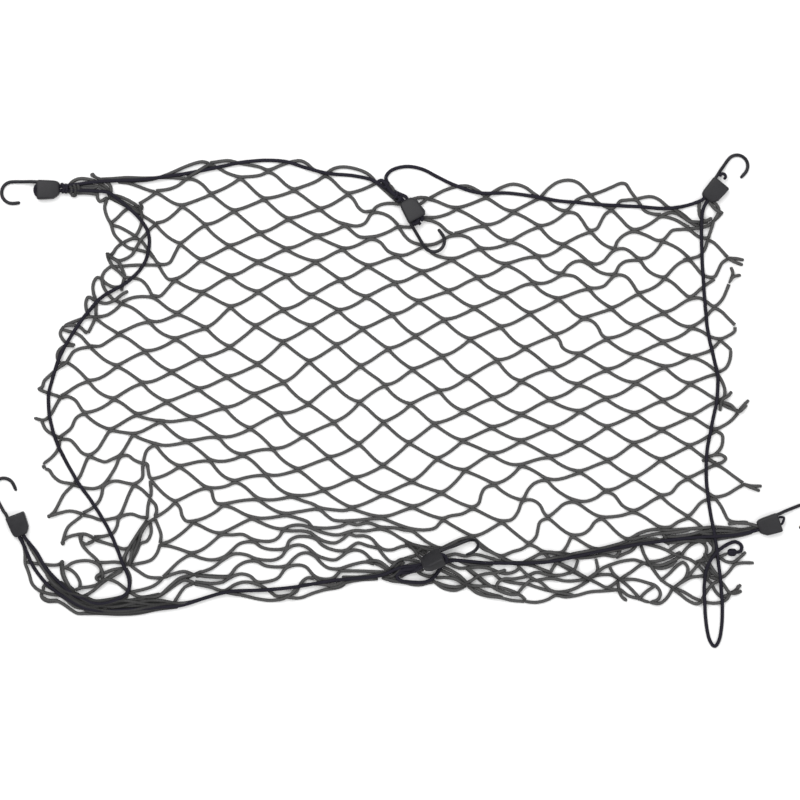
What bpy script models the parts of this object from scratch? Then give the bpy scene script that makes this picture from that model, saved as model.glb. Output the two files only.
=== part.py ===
# Elastic cargo net with six hooks, laid out flat on a table.
#
# The net is one soft sheet of knotless diamond mesh with four drawn-out
# corners. It is slack along its lower edge, where the spare meshes lie
# gathered in long folds. A border cord runs round it from hook to hook.
# Each hook is a hollow moulded body with a bent wire, and the border cord is
# knotted inside the body.
#
# Units: metres. +Z up, the table is z = 0. Tables are in millimetres, "right"
# and "down" from the upper left corner of the layout.

import bpy
import math
from mathutils import Vector
from mathutils.geometry import delaunay_2d_cdt

MM = 0.001

# ---------------------------------------------------------------- sizes (mm)
LAYOUT_RIGHT = 403.2      # layout point that stands over the part's origin
LAYOUT_DOWN = 400.6

NET_THICK = 4.0           # spread mesh, one joint thick
NET_EDGE_THICK = 3.0      # at the free edge
NET_TIP_THICK = 2.0       # where a corner runs out towards its hook
BORDER_D = 3.8            # border cord
GAP = 0.45                # between neighbouring pieces
CORD_STEP = 11.0          # longest stretch between two points of a cord
CORD_TURN = 20.0          # largest turn between two points, degrees

BODY_LEN = 22.0           # hook body, narrow end to mouth
WIRE_D = 3.5              # coated hook wire
WIRE_SIDE = 8.2           # the wire's distance from the body's middle
WIRE_BEND_R = 10.8        # radius of the hook's bend, to the wire's axis
WIRE_TIP = 8.0            # straight end after the bend
KNOT_R = 2.55             # the cord's knotted end inside a body

# hook bodies: station from the narrow end, side limits, bottom and top
BODY_OUTER = [
    # station, side_low, side_high, bottom, top
    (0.0, -4.6, 7.5, 0.0, 8.0),
    (2.5, -6.7, 8.8, 0.0, 8.6),
    (6.0, -8.9, 9.4, 0.0, 9.3),
    (14.0, -9.5, 9.7, 0.0, 10.4),
    (22.0, -9.8, 9.9, 0.0, 11.0),
]
BODY_INNER = [
    (22.0, -8.2, 8.3, 1.6, 9.4),
    (14.0, -7.9, 8.1, 1.6, 8.8),
    (7.0, -7.4, 7.7, 1.6, 7.8),
    (3.2, -3.2, 6.2, 1.6, 6.4),
    (0.0, -3.2, 6.2, 1.6, 6.4),
]

# where each hook lies: middle of its mouth, heading of its mouth, side of the
# wire (1 or -1), height it rests at, straight wire beyond the mouth, degrees
# the wire splays from the body, degrees the hook is rolled about its wire
HOOKS = {
    # name: right, down, heading_right, heading_down, side, rest, reach, splay, roll
    "top_left": (37.5, 190.0, -1.00, 0.00, 1, 0.0, 25.3, 0.0, 0.0),
    "top_middle": (417.3, 219.2, 0.48, 0.88, 1, 4.5, 27.0, 0.0, 0.0),
    "top_right": (721.5, 183.0, 0.64, -0.77, -1, 0.0, 22.5, 6.0, 0.0),
    "bottom_left": (14.9, 514.4, -0.36, -0.93, -1, 0.0, 26.5, 8.5, 0.0),
    "bottom_middle": (444.5, 560.5, 0.91, -0.41, -1, 6.0, 25.0, 3.0, 48.0),
    "bottom_right": (779.5, 522.0, 0.95, -0.31, -1, 0.0, 23.7, 3.0, 0.0),
}

# the cord's two ends inside a hook body, beside each other
PORT_A = [
    # station, side, height, radius
    (17.5, 0.9, 4.7, KNOT_R), (14.0, 0.9, 4.7, KNOT_R), (10.5, 1.1, 4.6, 2.35),
    (8.0, 2.0, 4.4, 1.9), (5.0, 3.4, 4.1, 1.9), (2.0, 3.7, 4.0, 1.9),
    (-3.0, 3.7, 4.0, 1.9),
]
PORT_B = [
    (17.5, -4.7, 4.7, KNOT_R), (14.0, -4.7, 4.7, KNOT_R), (10.5, -4.4, 4.6, 2.35),
    (8.0, -3.3, 4.4, 1.9), (5.0, -1.3, 4.1, 1.9), (2.0, -0.7, 4.0, 1.9),
    (-3.0, -0.7, 4.0, 1.9),
]

# ------------------------------------------------------- outline of the net
EDGE_TOP = [
    # right, down
    (72, 184), (80, 178.5), (92, 177.5), (95, 173), (101, 177), (125, 177),
    (150, 176), (170, 169), (190, 163), (202, 161), (215, 161), (230, 160),
    (245, 161.5), (266, 158.5), (290, 160), (305, 161), (318, 168),
    (330, 168), (344, 166), (362, 169), (374, 176), (388, 182), (400, 194),
    (420, 196), (432, 194), (450, 187), (464, 184), (480, 191), (497, 190),
    (512, 183), (528, 188), (542, 196), (552, 186), (565, 179), (578, 183),
    (592, 195), (606, 190), (622, 182), (634, 190), (643, 197), (656, 196),
    (672, 206), (684, 210), (696, 218),
]
EDGE_RIGHT = [
    (697, 211), (702, 209), (712, 208), (723, 211), (719, 219), (713, 228),
    (713, 238), (722, 247), (729, 255), (744, 260), (743, 264), (731, 266),
    (741, 274), (736, 282), (728, 300), (735, 318), (736, 330), (728, 338),
    (731, 348), (728, 362), (722, 372), (724, 385), (732, 391), (727, 400),
    (748, 401), (738, 414), (724, 424), (723, 440), (716, 452), (727, 458),
    (722, 468), (742, 483), (761, 486), (744, 491), (720, 499), (726, 510),
    (731, 519), (747, 520.5),
]
EDGE_BOTTOM = [
    (747.5, 534.5), (738, 539), (744, 548), (752, 561), (753, 564), (736, 567),
    (728, 575), (729, 583), (741, 589), (730, 598), (718, 604), (703, 603),
    (697, 605), (684, 597), (673, 593), (662, 603), (646, 604), (634, 599),
    (622, 600), (612, 594), (590, 595), (562, 598), (548, 600), (536, 604),
    (520, 601), (500, 599), (482, 596), (466, 589), (452, 590), (436, 585),
    (418, 586), (400, 583), (384, 580), (360, 582), (343, 588), (322, 593),
    (305, 599), (282, 602), (260, 601), (243, 597), (222, 602), (200, 608),
    (180, 611), (160, 610), (128, 615), (100, 615), (78, 614), (64, 605),
    (44, 600), (30, 588), (25, 572), (23, 556), (24.5, 546),
]
EDGE_LEFT = [
    (31, 546), (45, 561), (58, 561), (66, 563), (70, 566), (90, 560),
    (79, 549), (76, 541), (61, 543), (63, 531), (72, 520), (48, 516),
    (58, 500), (68, 486), (52, 477), (43, 468), (44, 463), (56, 451),
    (50, 436), (40, 424), (34, 418), (44, 416), (47, 400), (37, 390),
    (43, 380), (55, 368), (56, 350), (59, 336), (65, 325), (78, 318),
    (84, 306), (86, 297), (92, 282), (98, 276), (106, 268), (107, 254),
    (116, 242), (110, 228), (105, 214), (104, 202), (96, 199), (84, 193),
    (73, 191.5),
]

# ------------------------------------------------------------- gathered folds
# Each fold is a soft ridge along a line: reach to each side and height above
# the spread mesh.
FOLDS = {
    # name: [(right, down, reach, rise), ...]
    "lower_left_bundle": [
        (25, 550, 7, 0.5), (42, 578, 11, 3.0), (70, 598, 15, 5.5),
        (104, 603, 14, 6.5), (150, 602, 12, 5.5), (205, 599, 10, 3.5),
        (262, 591, 10, 2.5), (322, 583, 11, 4.0), (372, 573, 14, 5.5),
        (398, 569, 14, 3.5), (424, 568, 20, 2.4), (452, 566, 22, 2.4)],
    "lower_right_bundle": [
        (749, 528, 6, 0.3), (722, 531, 10, 3.5), (684, 536, 11, 4.5),
        (640, 542, 11, 4.0), (600, 551, 9, 3.0), (560, 557, 10, 3.0),
        (510, 562, 12, 3.5), (470, 562, 14, 2.4), (452, 564, 16, 2.0)],
    "flopped_meshes": [
        (724, 560, 14, 2.5), (704, 580, 16, 3.5), (674, 583, 13, 4.5),
        (650, 592, 12, 2.5), (624, 580, 14, 3.5), (590, 583, 12, 3.0),
        (556, 590, 11, 3.5), (520, 588, 13, 4.0), (486, 586, 12, 3.5),
        (456, 582, 10, 3.0), (430, 578, 9, 2.0)],
    "flopped_fold": [
        (704, 552, 12, 4.5), (676, 556, 12, 5.0), (650, 563, 12, 3.5),
        (616, 566, 10, 2.5)],
    "steep_fold": [
        (144, 462, 8, 1.0), (149, 490, 8, 2.5), (148, 520, 9, 4.5),
        (132, 548, 10, 5.0), (122, 565, 10, 5.5), (100, 578, 10, 4.5),
        (80, 592, 10, 4.5)],
    "ripple_1": [(205, 522, 7, 0.6), (262, 518, 8, 1.4), (322, 528, 9, 3.0),
                 (366, 524, 9, 3.0), (404, 530, 8, 1.6), (440, 546, 9, 1.6)],
    "ripple_2": [(176, 546, 7, 0.8), (236, 541, 8, 1.8), (300, 545, 9, 2.6),
                 (348, 548, 9, 2.6), (392, 552, 9, 2.0)],
    "ripple_3": [(160, 575, 8, 1.4), (218, 571, 9, 2.2), (268, 568, 9, 1.8),
                 (318, 566, 9, 2.4), (356, 565, 8, 2.4)],
    "upper_left_corner": [
        (74, 187, 6, 0.2), (96, 187, 9, 2.5), (124, 184, 8, 2.5),
        (160, 180, 8, 2.0), (200, 170, 7, 1.0)],
    "upper_left_strand": [
        (100, 192, 7, 2.0), (122, 203, 9, 3.5), (140, 212, 8, 3.0),
        (158, 226, 7, 0.8)],
    "left_ruffle": [
        (140, 236, 9, 2.0), (126, 262, 12, 3.0), (108, 288, 12, 3.5),
        (86, 312, 10, 3.5), (70, 336, 9, 2.5), (58, 362, 7, 1.0)],
    "upper_middle_pull": [
        (372, 182, 7, 0.6), (386, 190, 7, 0.4)],
    "upper_right_corner": [
        (650, 212, 8, 1.0), (684, 219, 9, 3.0), (701, 223, 9, 3.0),
        (714, 214, 7, 1.8)],
    "right_edge_knots": [
        (718, 390, 8, 1.5), (722, 402, 8, 1.5)],
}

# the corners thin out towards their hooks: right, down, reach
THIN_TIPS = [(68, 188, 26), (702, 203, 14), (752, 527, 26), (23, 541, 24)]

# ---------------------------------------------------- the twelve widest meshes
MESH_GAPS = {
    # name: [(right, down), ...] round the opening
    "gap_left_1": [(61, 399), (72, 399), (82, 411), (73, 420), (66, 434), (58, 434), (55, 420), (57, 407)],
    "gap_left_2": [(85, 417), (97, 426), (106, 432), (98, 446), (89, 454), (78, 447), (67, 438), (73, 424)],
    "gap_left_3": [(111, 434), (129, 436), (121, 450), (114, 456), (104, 459), (93, 456), (103, 446)],
    "gap_left_4": [(90, 460), (103, 464), (115, 460), (109, 472), (101, 481), (98, 486), (86, 485), (81, 479), (86, 470)],
    "gap_left_5": [(105, 487), (118, 483), (129, 486), (125, 500), (116, 514), (104, 517), (98, 508), (101, 498)],
    "gap_low_1": [(493, 488), (505, 497), (517, 502), (511, 515), (500, 519), (488, 512), (478, 506), (482, 494)],
    "gap_low_2": [(524, 503), (537, 503), (543, 516), (536, 521), (534, 538), (529, 541), (517, 532), (505, 524), (516, 518)],
    "gap_low_3": [(546, 484), (558, 491), (571, 500), (560, 505), (549, 514), (543, 502), (533, 497), (527, 496), (534, 486)],
    "gap_low_4": [(474, 511), (488, 515), (498, 521), (488, 529), (478, 535), (470, 535), (458, 528), (447, 520), (456, 517), (467, 514)],
    "gap_low_5": [(549, 521), (559, 528), (569, 536), (564, 546), (556, 549), (545, 548), (534, 543), (538, 532), (541, 523)],
    "gap_top_1": [(157, 196), (166, 203), (179, 208), (170, 218), (157, 222), (148, 217), (144, 206)],
    "gap_top_2": [(184, 210), (193, 213), (202, 224), (191, 229), (180, 241), (168, 234), (160, 224), (172, 220)],
}

# -------------------------------------------------------- border cord routes
# "lift" counts the cords this one passes over at that point.
ROUTES = {
    # name: start hook and port, end hook and port, [(right, down, lift), ...]
    "border_top_left": ("top_left", PORT_A, "top_middle", PORT_A, [
        (76, 184.5, 0), (90, 182.5, 0), (111, 181, 0), (140, 180, 0),
        (170, 176, 0), (200, 171, 0), (219, 167, 0), (238, 163, 0),
        (255, 160.8, 0), (267.6, 160.2, 0), (285.5, 161.6, 0),
        (309.7, 169, 0), (327.6, 173.4, 0), (353, 175.6, 0), (372, 180, 0),
        (385, 188, 0), (394, 194.5, 0)]),
    "border_top_right": ("top_middle", PORT_B, "top_right", PORT_A, [
        (398, 190, 0), (391, 183, 0), (386.3, 177.2, 0), (391.5, 170.6, 0),
        (405.5, 166.4, 0), (422, 169, 0), (437, 176.6, 0), (456.5, 186, 0),
        (479.5, 193, 0), (507.6, 193, 0), (533, 196.3, 0), (558.6, 200.8, 0),
        (580, 202.7, 0), (598, 204.6, 0), (636.5, 206.5, 0),
        (668.4, 208.4, 0), (687.6, 205.3, 0), (697, 202.2, 0)]),
    "border_right": ("top_right", PORT_B, None, None, [
        (703.5, 208, 0), (701.5, 220, 0), (701.6, 244.8, 0), (703.5, 283, 0),
        (705.4, 308.6, 0), (708.5, 335, 0), (714.6, 361, 0), (717.7, 376.5, 0),
        (716.9, 399.5, 0), (710.8, 430, 0), (706.5, 456, 0), (706.5, 480, 0),
        (708, 497, 0), (710.5, 513, 0.4), (713.5, 530, 1), (716, 545, 1),
        (718, 560, 1), (720.3, 580, 0), (722.4, 608, 0), (721.7, 626.6, 0),
        (719, 641, 0), (714.7, 647.0, 0), (710, 641, 0), (707.2, 630, 0),
        (704.9, 608.4, 0), (704.2, 585, 0), (706.5, 568, 1), (713, 556, 2.1),
        (723, 547, 2.1), (735.7, 541.8, 0.4), (742, 546, 0), (739.5, 552.5, 0),
        (733.5, 552.5, 0)]),
    "border_lower_right": ("bottom_right", PORT_B, "bottom_middle", PORT_B, [
        (745, 533, 0), (732, 535, 0), (720, 536, 0), (700, 537, 0),
        (678, 539, 0), (650, 542.5, 0), (636, 544.5, 0), (608, 549.4, 0),
        (580, 555.5, 0), (545.8, 562, 0), (520, 563, 0), (494.8, 563, 0),
        (484, 562.8, 0), (474, 561.8, 0), (464, 560.8, 0), (455, 560.2, 0),
        (447.5, 561.5, 0), (441.8, 565, 0), (438.6, 570.2, 0),
        (435.6, 575.4, 0), (430.6, 579.8, 0), (424, 582.2, 0),
        (415, 582.2, 0), (407.5, 581.6, 0), (401.5, 580.8, 0),
        (397.6, 578.8, 0), (396.4, 575.9, 0), (398.6, 573.4, 0),
        (403, 572.3, 0), (411, 571.8, 0)]),
    "border_lower_left": ("bottom_middle", PORT_A, "bottom_left", PORT_A, [
        (411, 566.0, 0), (403.5, 566.6, 0), (396, 568.9, 0),
        (388, 572.8, 0), (376.4, 576, 0),
        (334.3, 580.3, 0), (292, 587.3, 0), (264, 590, 0), (229, 591.5, 0),
        (208, 597, 0), (180, 605.6, 0), (165.8, 606.5, 0), (127.6, 609.6, 0),
        (100, 610.5, 0), (86, 608, 0), (74, 602.5, 0), (64, 596.5, 0),
        (55, 590.5, 0), (47, 584, 0), (40.5, 577, 0), (35, 569.5, 0),
        (31, 562, 0), (27.5, 554, 0), (24, 545, 0)]),
    "border_left": ("bottom_left", PORT_B, "top_left", PORT_B, [
        (31, 545, 0), (36.5, 552, 0), (45, 566.5, 0), (51, 574, 0),
        (58.5, 581.5, 0), (66, 588.5, 0), (74, 594.5, 0), (84, 599, 0),
        (92, 602.5, 0), (100, 603.6, 0), (109, 602.5, 0), (119, 598.5, 0),
        (126, 594, 0), (129.2, 588, 0),
        (128.8, 577.8, 0), (122.4, 562.4, 0), (111, 534.4, 0),
        (95.7, 507.6, 0), (76.5, 480, 0), (58.7, 446.7, 0), (50.4, 421, 0),
        (48.5, 395.7, 0), (53.6, 375.3, 0), (61.2, 353.6, 0), (79, 324, 0),
        (89, 311, 0), (102, 297, 0), (127.6, 281.8, 0), (144, 264, 0),
        (149, 248, 0), (148, 232, 0), (140, 219, 0), (130, 209, 0),
        (118, 199, 0), (108, 192.4, 0), (95, 191, 0), (78, 190.6, 0)]),
}
END_KNOT_R = 3.5          # the crimped end of the right-hand stretch
LIFT = BORDER_D + GAP     # one cord's height

# rounded-section points: fraction of the corner at each step
CORNER_STEPS = (0.0, 0.5, 1.0)
CORNER_OUT = 2.3
CORNER_IN = 1.1

COLOURS = {
    "net": (0.070, 0.070, 0.072), "border": (0.030, 0.030, 0.040),
    "body": (0.045, 0.045, 0.050), "wire": (0.020, 0.020, 0.026),
}


# ------------------------------------------------------------------ helpers
def clear_scene():
    for obj in list(bpy.data.objects):
        bpy.data.objects.remove(obj, do_unlink=True)


def place(right, down, height=0.0):
    """A layout point (mm) in the part's frame (m)."""
    return Vector(((right - LAYOUT_RIGHT) * MM, (LAYOUT_DOWN - down) * MM,
                   height * MM))


def material(name, colour, rough):
    mat = bpy.data.materials.new(name)
    mat.use_nodes = True
    shader = mat.node_tree.nodes["Principled BSDF"]
    shader.inputs["Base Color"].default_value = (*colour, 1.0)
    shader.inputs["Roughness"].default_value = rough
    mat.diffuse_color = (*colour, 1.0)
    return mat


def add_mesh(name, verts, faces, mat):
    mesh = bpy.data.meshes.new(name)
    mesh.from_pydata([tuple(v) for v in verts], [], faces)
    mesh.validate()
    obj = bpy.data.objects.new(name, mesh)
    bpy.context.scene.collection.objects.link(obj)
    mesh.materials.append(mat)
    return obj


def segment_distance(px, py, ax, ay, bx, by):
    """Distance to a segment, and how far along it the nearest point is."""
    dx, dy = bx - ax, by - ay
    length2 = dx * dx + dy * dy
    t = 0.0
    if length2 > 0.0:
        t = max(0.0, min(1.0, ((px - ax) * dx + (py - ay) * dy) / length2))
    return math.hypot(px - ax - t * dx, py - ay - t * dy), t


def inside(px, py, ring):
    hit = False
    for (ax, ay), (bx, by) in zip(ring, ring[1:] + ring[:1]):
        if (ay > py) != (by > py):
            if px < (bx - ax) * (py - ay) / (by - ay) + ax:
                hit = not hit
    return hit


def ring_distance(px, py, ring):
    return min(segment_distance(px, py, ax, ay, bx, by)[0]
               for (ax, ay), (bx, by) in zip(ring, ring[1:] + ring[:1]))


def outline():
    return [tuple(map(float, p)) for p in
            EDGE_TOP + EDGE_RIGHT + EDGE_BOTTOM + EDGE_LEFT]


def fold_rise(px, py):
    """Height of the gathers over the spread mesh, and how far off they end."""
    best, near = 0.0, 1e9
    for rows in FOLDS.values():
        for (ax, ay, aw, ah), (bx, by, bw, bh) in zip(rows, rows[1:]):
            d, t = segment_distance(px, py, ax, ay, bx, by)
            width = aw + (bw - aw) * t
            rise = ah + (bh - ah) * t
            near = min(near, d - width)
            if d < width:
                best = max(best, rise * (1.0 - (d / width) ** 2) ** 2)
    return best, near


def net_top(px, py):
    """Height of the sheet's upper side at a point inside its outline."""
    base = NET_THICK
    for tx, ty, reach in THIN_TIPS:
        d = math.hypot(px - tx, py - ty)
        if d < reach:
            base = min(base, NET_TIP_THICK +
                       (NET_THICK - NET_TIP_THICK) * (d / reach) ** 1.3)
    return base + fold_rise(px, py)[0]


# ---------------------------------------------------------------- the sheet
def build_net(mat):
    ring = outline()
    gaps = [[tuple(map(float, p)) for p in rows] for rows in MESH_GAPS.values()]
    rings = [ring] + gaps

    border = []
    loops = []
    for rows in rings:
        start = len(border)
        border.extend(rows)
        loops.append(list(range(start, len(border))))
    edges = [(a, b) for loop in loops for a, b in zip(loop, loop[1:] + loop[:1])]

    # inner points: close together on the folds, far apart on the spread mesh
    fine, coarse = 8.5, 40.0
    inner = []
    row = 0
    down = 150.0
    while down < 620.0:
        shift = (row % 2) * fine * 0.5
        right = 15.0 + shift
        while right < 770.0:
            keep = fold_rise(right, down)[1] < 6.5
            if not keep:
                keep = (row % 5 == 0 and
                        abs((right - shift - 15.0) % coarse) < fine * 0.5)
            if keep and inside(right, down, ring):
                clear = ring_distance(right, down, ring) > 4.0
                for gap in gaps:
                    if clear and (inside(right, down, gap) or
                                  ring_distance(right, down, gap) < 4.0):
                        clear = False
                if clear:
                    inner.append((right, down))
            right += fine
        down += fine * 0.9
        row += 1

    def triangles(points):
        out = delaunay_2d_cdt([Vector(p) for p in points], edges, [], 0, 1e-4)
        verts, _, tris, source = out[0], out[1], out[2], out[3]
        number = [src[0] for src in source]
        kept = []
        for tri in tris:
            mid = (verts[tri[0]] + verts[tri[1]] + verts[tri[2]]) / 3.0
            if inside(mid.x, mid.y, ring) and not any(
                    inside(mid.x, mid.y, gap) for gap in gaps):
                kept.append([number[i] for i in tri])
        return kept

    top_points = border + inner
    count = len(top_points)
    verts = []
    for i, (right, down) in enumerate(top_points):
        top = net_top(right, down)
        if i < len(loops[0]):
            top = min(top, NET_EDGE_THICK)
            for tx, ty, reach in THIN_TIPS:
                if math.hypot(right - tx, down - ty) < 10.0:
                    top = min(top, NET_TIP_THICK)
        verts.append(place(right, down, top))
    verts += [place(right, down, 0.0) for right, down in border]

    faces = triangles(top_points)
    faces += [[i + count for i in reversed(tri)] for tri in triangles(border)]
    used = {}
    for tri in faces[:]:
        for a, b in zip(tri, tri[1:] + tri[:1]):
            used[(a, b)] = True
    for a, b in edges:
        if (a, b) in used:
            faces.append([b, a, a + count, b + count])
        else:
            faces.append([a, b, b + count, a + count])
    # "down" runs against the frame's Y, so the faces turn the other way
    return add_mesh("net", verts, [list(reversed(f)) for f in faces], mat)


# ----------------------------------------------------------------- hooks
def hook_point(name, station, side, height):
    """A point of a hook: station from the narrow end, side, height."""
    right, down, hx, hy, turn, rest, _, _, roll = HOOKS[name]
    size = math.hypot(hx, hy)
    hx, hy = hx / size, hy / size
    if roll:
        c, s = math.cos(math.radians(roll)), math.sin(math.radians(roll))
        off, up = side - WIRE_SIDE, height - WIRE_D / 2.0
        side = WIRE_SIDE + off * c + up * s
        height = WIRE_D / 2.0 - off * s + up * c
    along = station - BODY_LEN
    side *= turn
    return (right + along * hx - side * hy, down + along * hy + side * hx,
            rest + height)


def section(station, low, high, bottom, top, corner):
    """Rounded rectangle round a hook body at one station."""
    points = []
    centres = [(high - corner, top - corner, 0.0), (low + corner, top - corner, 90.0),
               (low + corner, bottom + corner, 180.0),
               (high - corner, bottom + corner, 270.0)]
    for cy, cz, start in centres:
        for step in CORNER_STEPS:
            angle = math.radians(start + 90.0 * step)
            points.append((station, cy + corner * math.cos(angle),
                           cz + corner * math.sin(angle)))
    return points


def build_body(name, mat):
    rings = [section(*row, CORNER_OUT) for row in BODY_OUTER]
    rings += [section(*row, CORNER_IN) for row in BODY_INNER]
    size = len(rings[0])
    verts = [place(*hook_point(name, *p)) for ring in rings for p in ring]
    faces = []
    total = len(rings)
    for k in range(total):
        a, b = k * size, ((k + 1) % total) * size
        for i in range(size):
            j = (i + 1) % size
            faces.append([a + i, a + j, b + j, b + i])
    if HOOKS[name][4] > 0:
        faces = [list(reversed(f)) for f in faces]
    return add_mesh("hook_body_" + name, verts, faces, mat)


def tube(name, points, mat):
    """A round cord through points of (right, down, height, radius)."""
    curve = bpy.data.curves.new(name, "CURVE")
    curve.dimensions = "3D"
    curve.bevel_depth = 1.0 * MM
    curve.bevel_resolution = 2
    curve.use_fill_caps = True
    spline = curve.splines.new("POLY")
    spline.points.add(len(points) - 1)
    for knot, (right, down, height, radius) in zip(spline.points, points):
        knot.co = (*place(right, down, height), 1.0)
        knot.radius = radius
    obj = bpy.data.objects.new(name, curve)
    bpy.context.scene.collection.objects.link(obj)
    curve.materials.append(mat)
    return obj


def build_wire(name, mat):
    """Bent wire: moulded into the body's side, then straight, bend and tip."""
    rest, reach, splay, roll = HOOKS[name][5:9]
    low = WIRE_D / 2.0
    if rest and not roll:
        low += NET_THICK + GAP - rest
    high = 5.5
    inner = 5.5
    path = [(11.0, inner, high), (16.0, inner, high),
            (BODY_LEN, inner + 0.2, high),
            (BODY_LEN + 3.5, inner + 1.4, high - 0.3)]
    c, s = math.cos(math.radians(splay)), math.sin(math.radians(splay))

    def beyond(along, across, height):
        return (BODY_LEN + along * c - across * s,
                WIRE_SIDE + along * s + across * c, height)

    drop = high - low
    path.append(beyond(7.0, -0.3, high - drop * 0.25))
    path.append(beyond(14.0, 0.0, high - drop * 0.62))
    path.append(beyond(reach, 0.0, low + drop * 0.06))
    for step in range(1, 13):
        angle = math.radians(90.0 - 15.0 * step)
        path.append(beyond(reach + WIRE_BEND_R * math.cos(angle),
                           WIRE_BEND_R * (math.sin(angle) - 1.0), low))
    path.append(beyond(reach - WIRE_TIP * 0.5, -2.0 * WIRE_BEND_R + 0.3, low))
    path.append(beyond(reach - WIRE_TIP, -2.0 * WIRE_BEND_R + 0.9, low))
    points = [(*hook_point(name, *p), WIRE_D / 2.0) for p in path]
    return tube("hook_wire_" + name, points, mat)


# ------------------------------------------------------------ border cord
def smooth_line(rows):
    """Catmull-Rom curve through rows, a point each millimetre or so."""
    ext = [rows[0]] + list(rows) + [rows[-1]]
    line = []
    for p0, p1, p2, p3 in zip(ext, ext[1:], ext[2:], ext[3:]):
        span = math.dist(p1[:2], p2[:2])
        steps = max(2, int(span))
        for k in range(steps):
            t = k / steps
            line.append(tuple(
                0.5 * (2 * b + (c - a) * t + (2 * a - 5 * b + 4 * c - d) * t * t
                       + (3 * b - a - 3 * c + d) * t ** 3)
                for a, b, c, d in zip(p0, p1, p2, p3)))
    line.append(tuple(rows[-1]))
    return line


def floor_under(right, down, ring):
    """Highest point of the sheet under a cord's width."""
    top = 0.0
    for k in range(21):
        reach = 0.0 if k == 0 else (2.2 if k < 11 else 4.2)
        px = right + reach * math.cos(k * math.pi / 5.0)
        py = down + reach * math.sin(k * math.pi / 5.0)
        if inside(px, py, ring) or ring_distance(px, py, ring) < 1.5:
            top = max(top, net_top(px, py))
    return top


def build_border(name, mat, ring):
    start, start_port, end, end_port, rows = ROUTES[name]
    radius = BORDER_D / 2.0
    plan = []
    head = [hook_point(start, *p[:3]) + (p[3],) for p in start_port]
    tail = []
    if end:
        tail = [hook_point(end, *p[:3]) + (p[3],) for p in end_port][::-1]
    middle = [head[-1][:2] + (0.0,)] + [tuple(map(float, r)) for r in rows]
    if end:
        middle.append(tail[0][:2] + (0.0,))
    line = smooth_line(middle)

    heights = []
    for right, down, lift in line:
        top = floor_under(right, down, ring)
        heights.append((top + GAP if top > 0.0 else 0.0) + radius
                       + max(0.0, lift) * LIFT)
    reach = 6
    peak = [max(heights[max(0, i - reach):i + reach + 1])
            for i in range(len(heights))]
    soft = []
    for i in range(len(peak)):
        window = peak[max(0, i - reach):i + reach + 1]
        soft.append(sum(window) / len(window))
    # ease from the height of the hook's hole to the height on the net
    ease = 10.0
    run = [0.0]
    for p, q in zip(line, line[1:]):
        run.append(run[-1] + math.dist(p[:2], q[:2]))
    for i, s in enumerate(run):
        w = min(1.0, s / ease)
        w = w * w * (3 - 2 * w)
        soft[i] = head[-1][2] * (1 - w) + soft[i] * w
        if end:
            w = min(1.0, (run[-1] - s) / ease)
            w = w * w * (3 - 2 * w)
            soft[i] = tail[0][2] * (1 - w) + soft[i] * w

    # keep a point where the cord has run far enough or turned enough
    kept = [0]
    turned = 0.0
    for i in range(1, len(line) - 1):
        a, b, c = line[i - 1], line[i], line[i + 1]
        u = Vector((b[0] - a[0], b[1] - a[1], soft[i] - soft[i - 1]))
        v = Vector((c[0] - b[0], c[1] - b[1], soft[i + 1] - soft[i]))
        if u.length > 0 and v.length > 0:
            turned += math.degrees(u.angle(v))
        if run[i] - run[kept[-1]] > CORD_STEP or turned > CORD_TURN:
            if run[i] - run[kept[-1]] > 2.2:
                kept.append(i)
                turned = 0.0
    if run[-1] - run[kept[-1]] < 2.0 and len(kept) > 1:
        kept.pop()
    kept.append(len(line) - 1)
    # a straight piece between two points may cut a crest: lift its ends
    level = {i: soft[i] for i in kept}
    for _ in range(3):
        for i, j in zip(kept, kept[1:]):
            low = 0.0
            for k in range(i, j + 1):
                if run[k] < ease or (end and run[-1] - run[k] < ease):
                    continue
                t = (k - i) / (j - i)
                low = max(low, heights[k] - (level[i] * (1 - t) + level[j] * t))
            level[i] += low
            level[j] += low
    body = [(line[i][0], line[i][1], level[i], radius) for i in kept]
    if end:
        plan = head[:-1] + body + tail[1:]
    else:
        last = body[-1]
        before = body[-2]
        dx, dy = last[0] - before[0], last[1] - before[1]
        size = math.hypot(dx, dy)
        dx, dy = dx / size, dy / size
        for along, grow in ((1.5, 0.85), (4.0, 1.0), (7.0, 1.0), (9.0, 0.7)):
            body.append((last[0] + dx * along, last[1] + dy * along,
                         last[2] + END_KNOT_R - radius, END_KNOT_R * grow))
        plan = head[:-1] + body
    return tube(name, plan, mat)


# -------------------------------------------------------------------- build
def main():
    clear_scene()
    net_mat = material("net_cord", COLOURS["net"], 0.85)
    border_mat = material("border_cord", COLOURS["border"], 0.75)
    body_mat = material("hook_plastic", COLOURS["body"], 0.5)
    wire_mat = material("hook_coating", COLOURS["wire"], 0.4)
    build_net(net_mat)
    ring = outline()
    for name in ROUTES:
        build_border(name, border_mat, ring)
    for name in HOOKS:
        build_body(name, body_mat)
        build_wire(name, wire_mat)


main()
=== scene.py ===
# Looks of an elastic cargo net with six hooks, laid out on a pale table.
#
# The mesh is charted as a diamond lattice of joints, with extra points
# for the bars that run out of true, and strands laid one by one where the meshes
# lie on each other. Layout tables are in millimetres, "right" and "down".

import math

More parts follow.
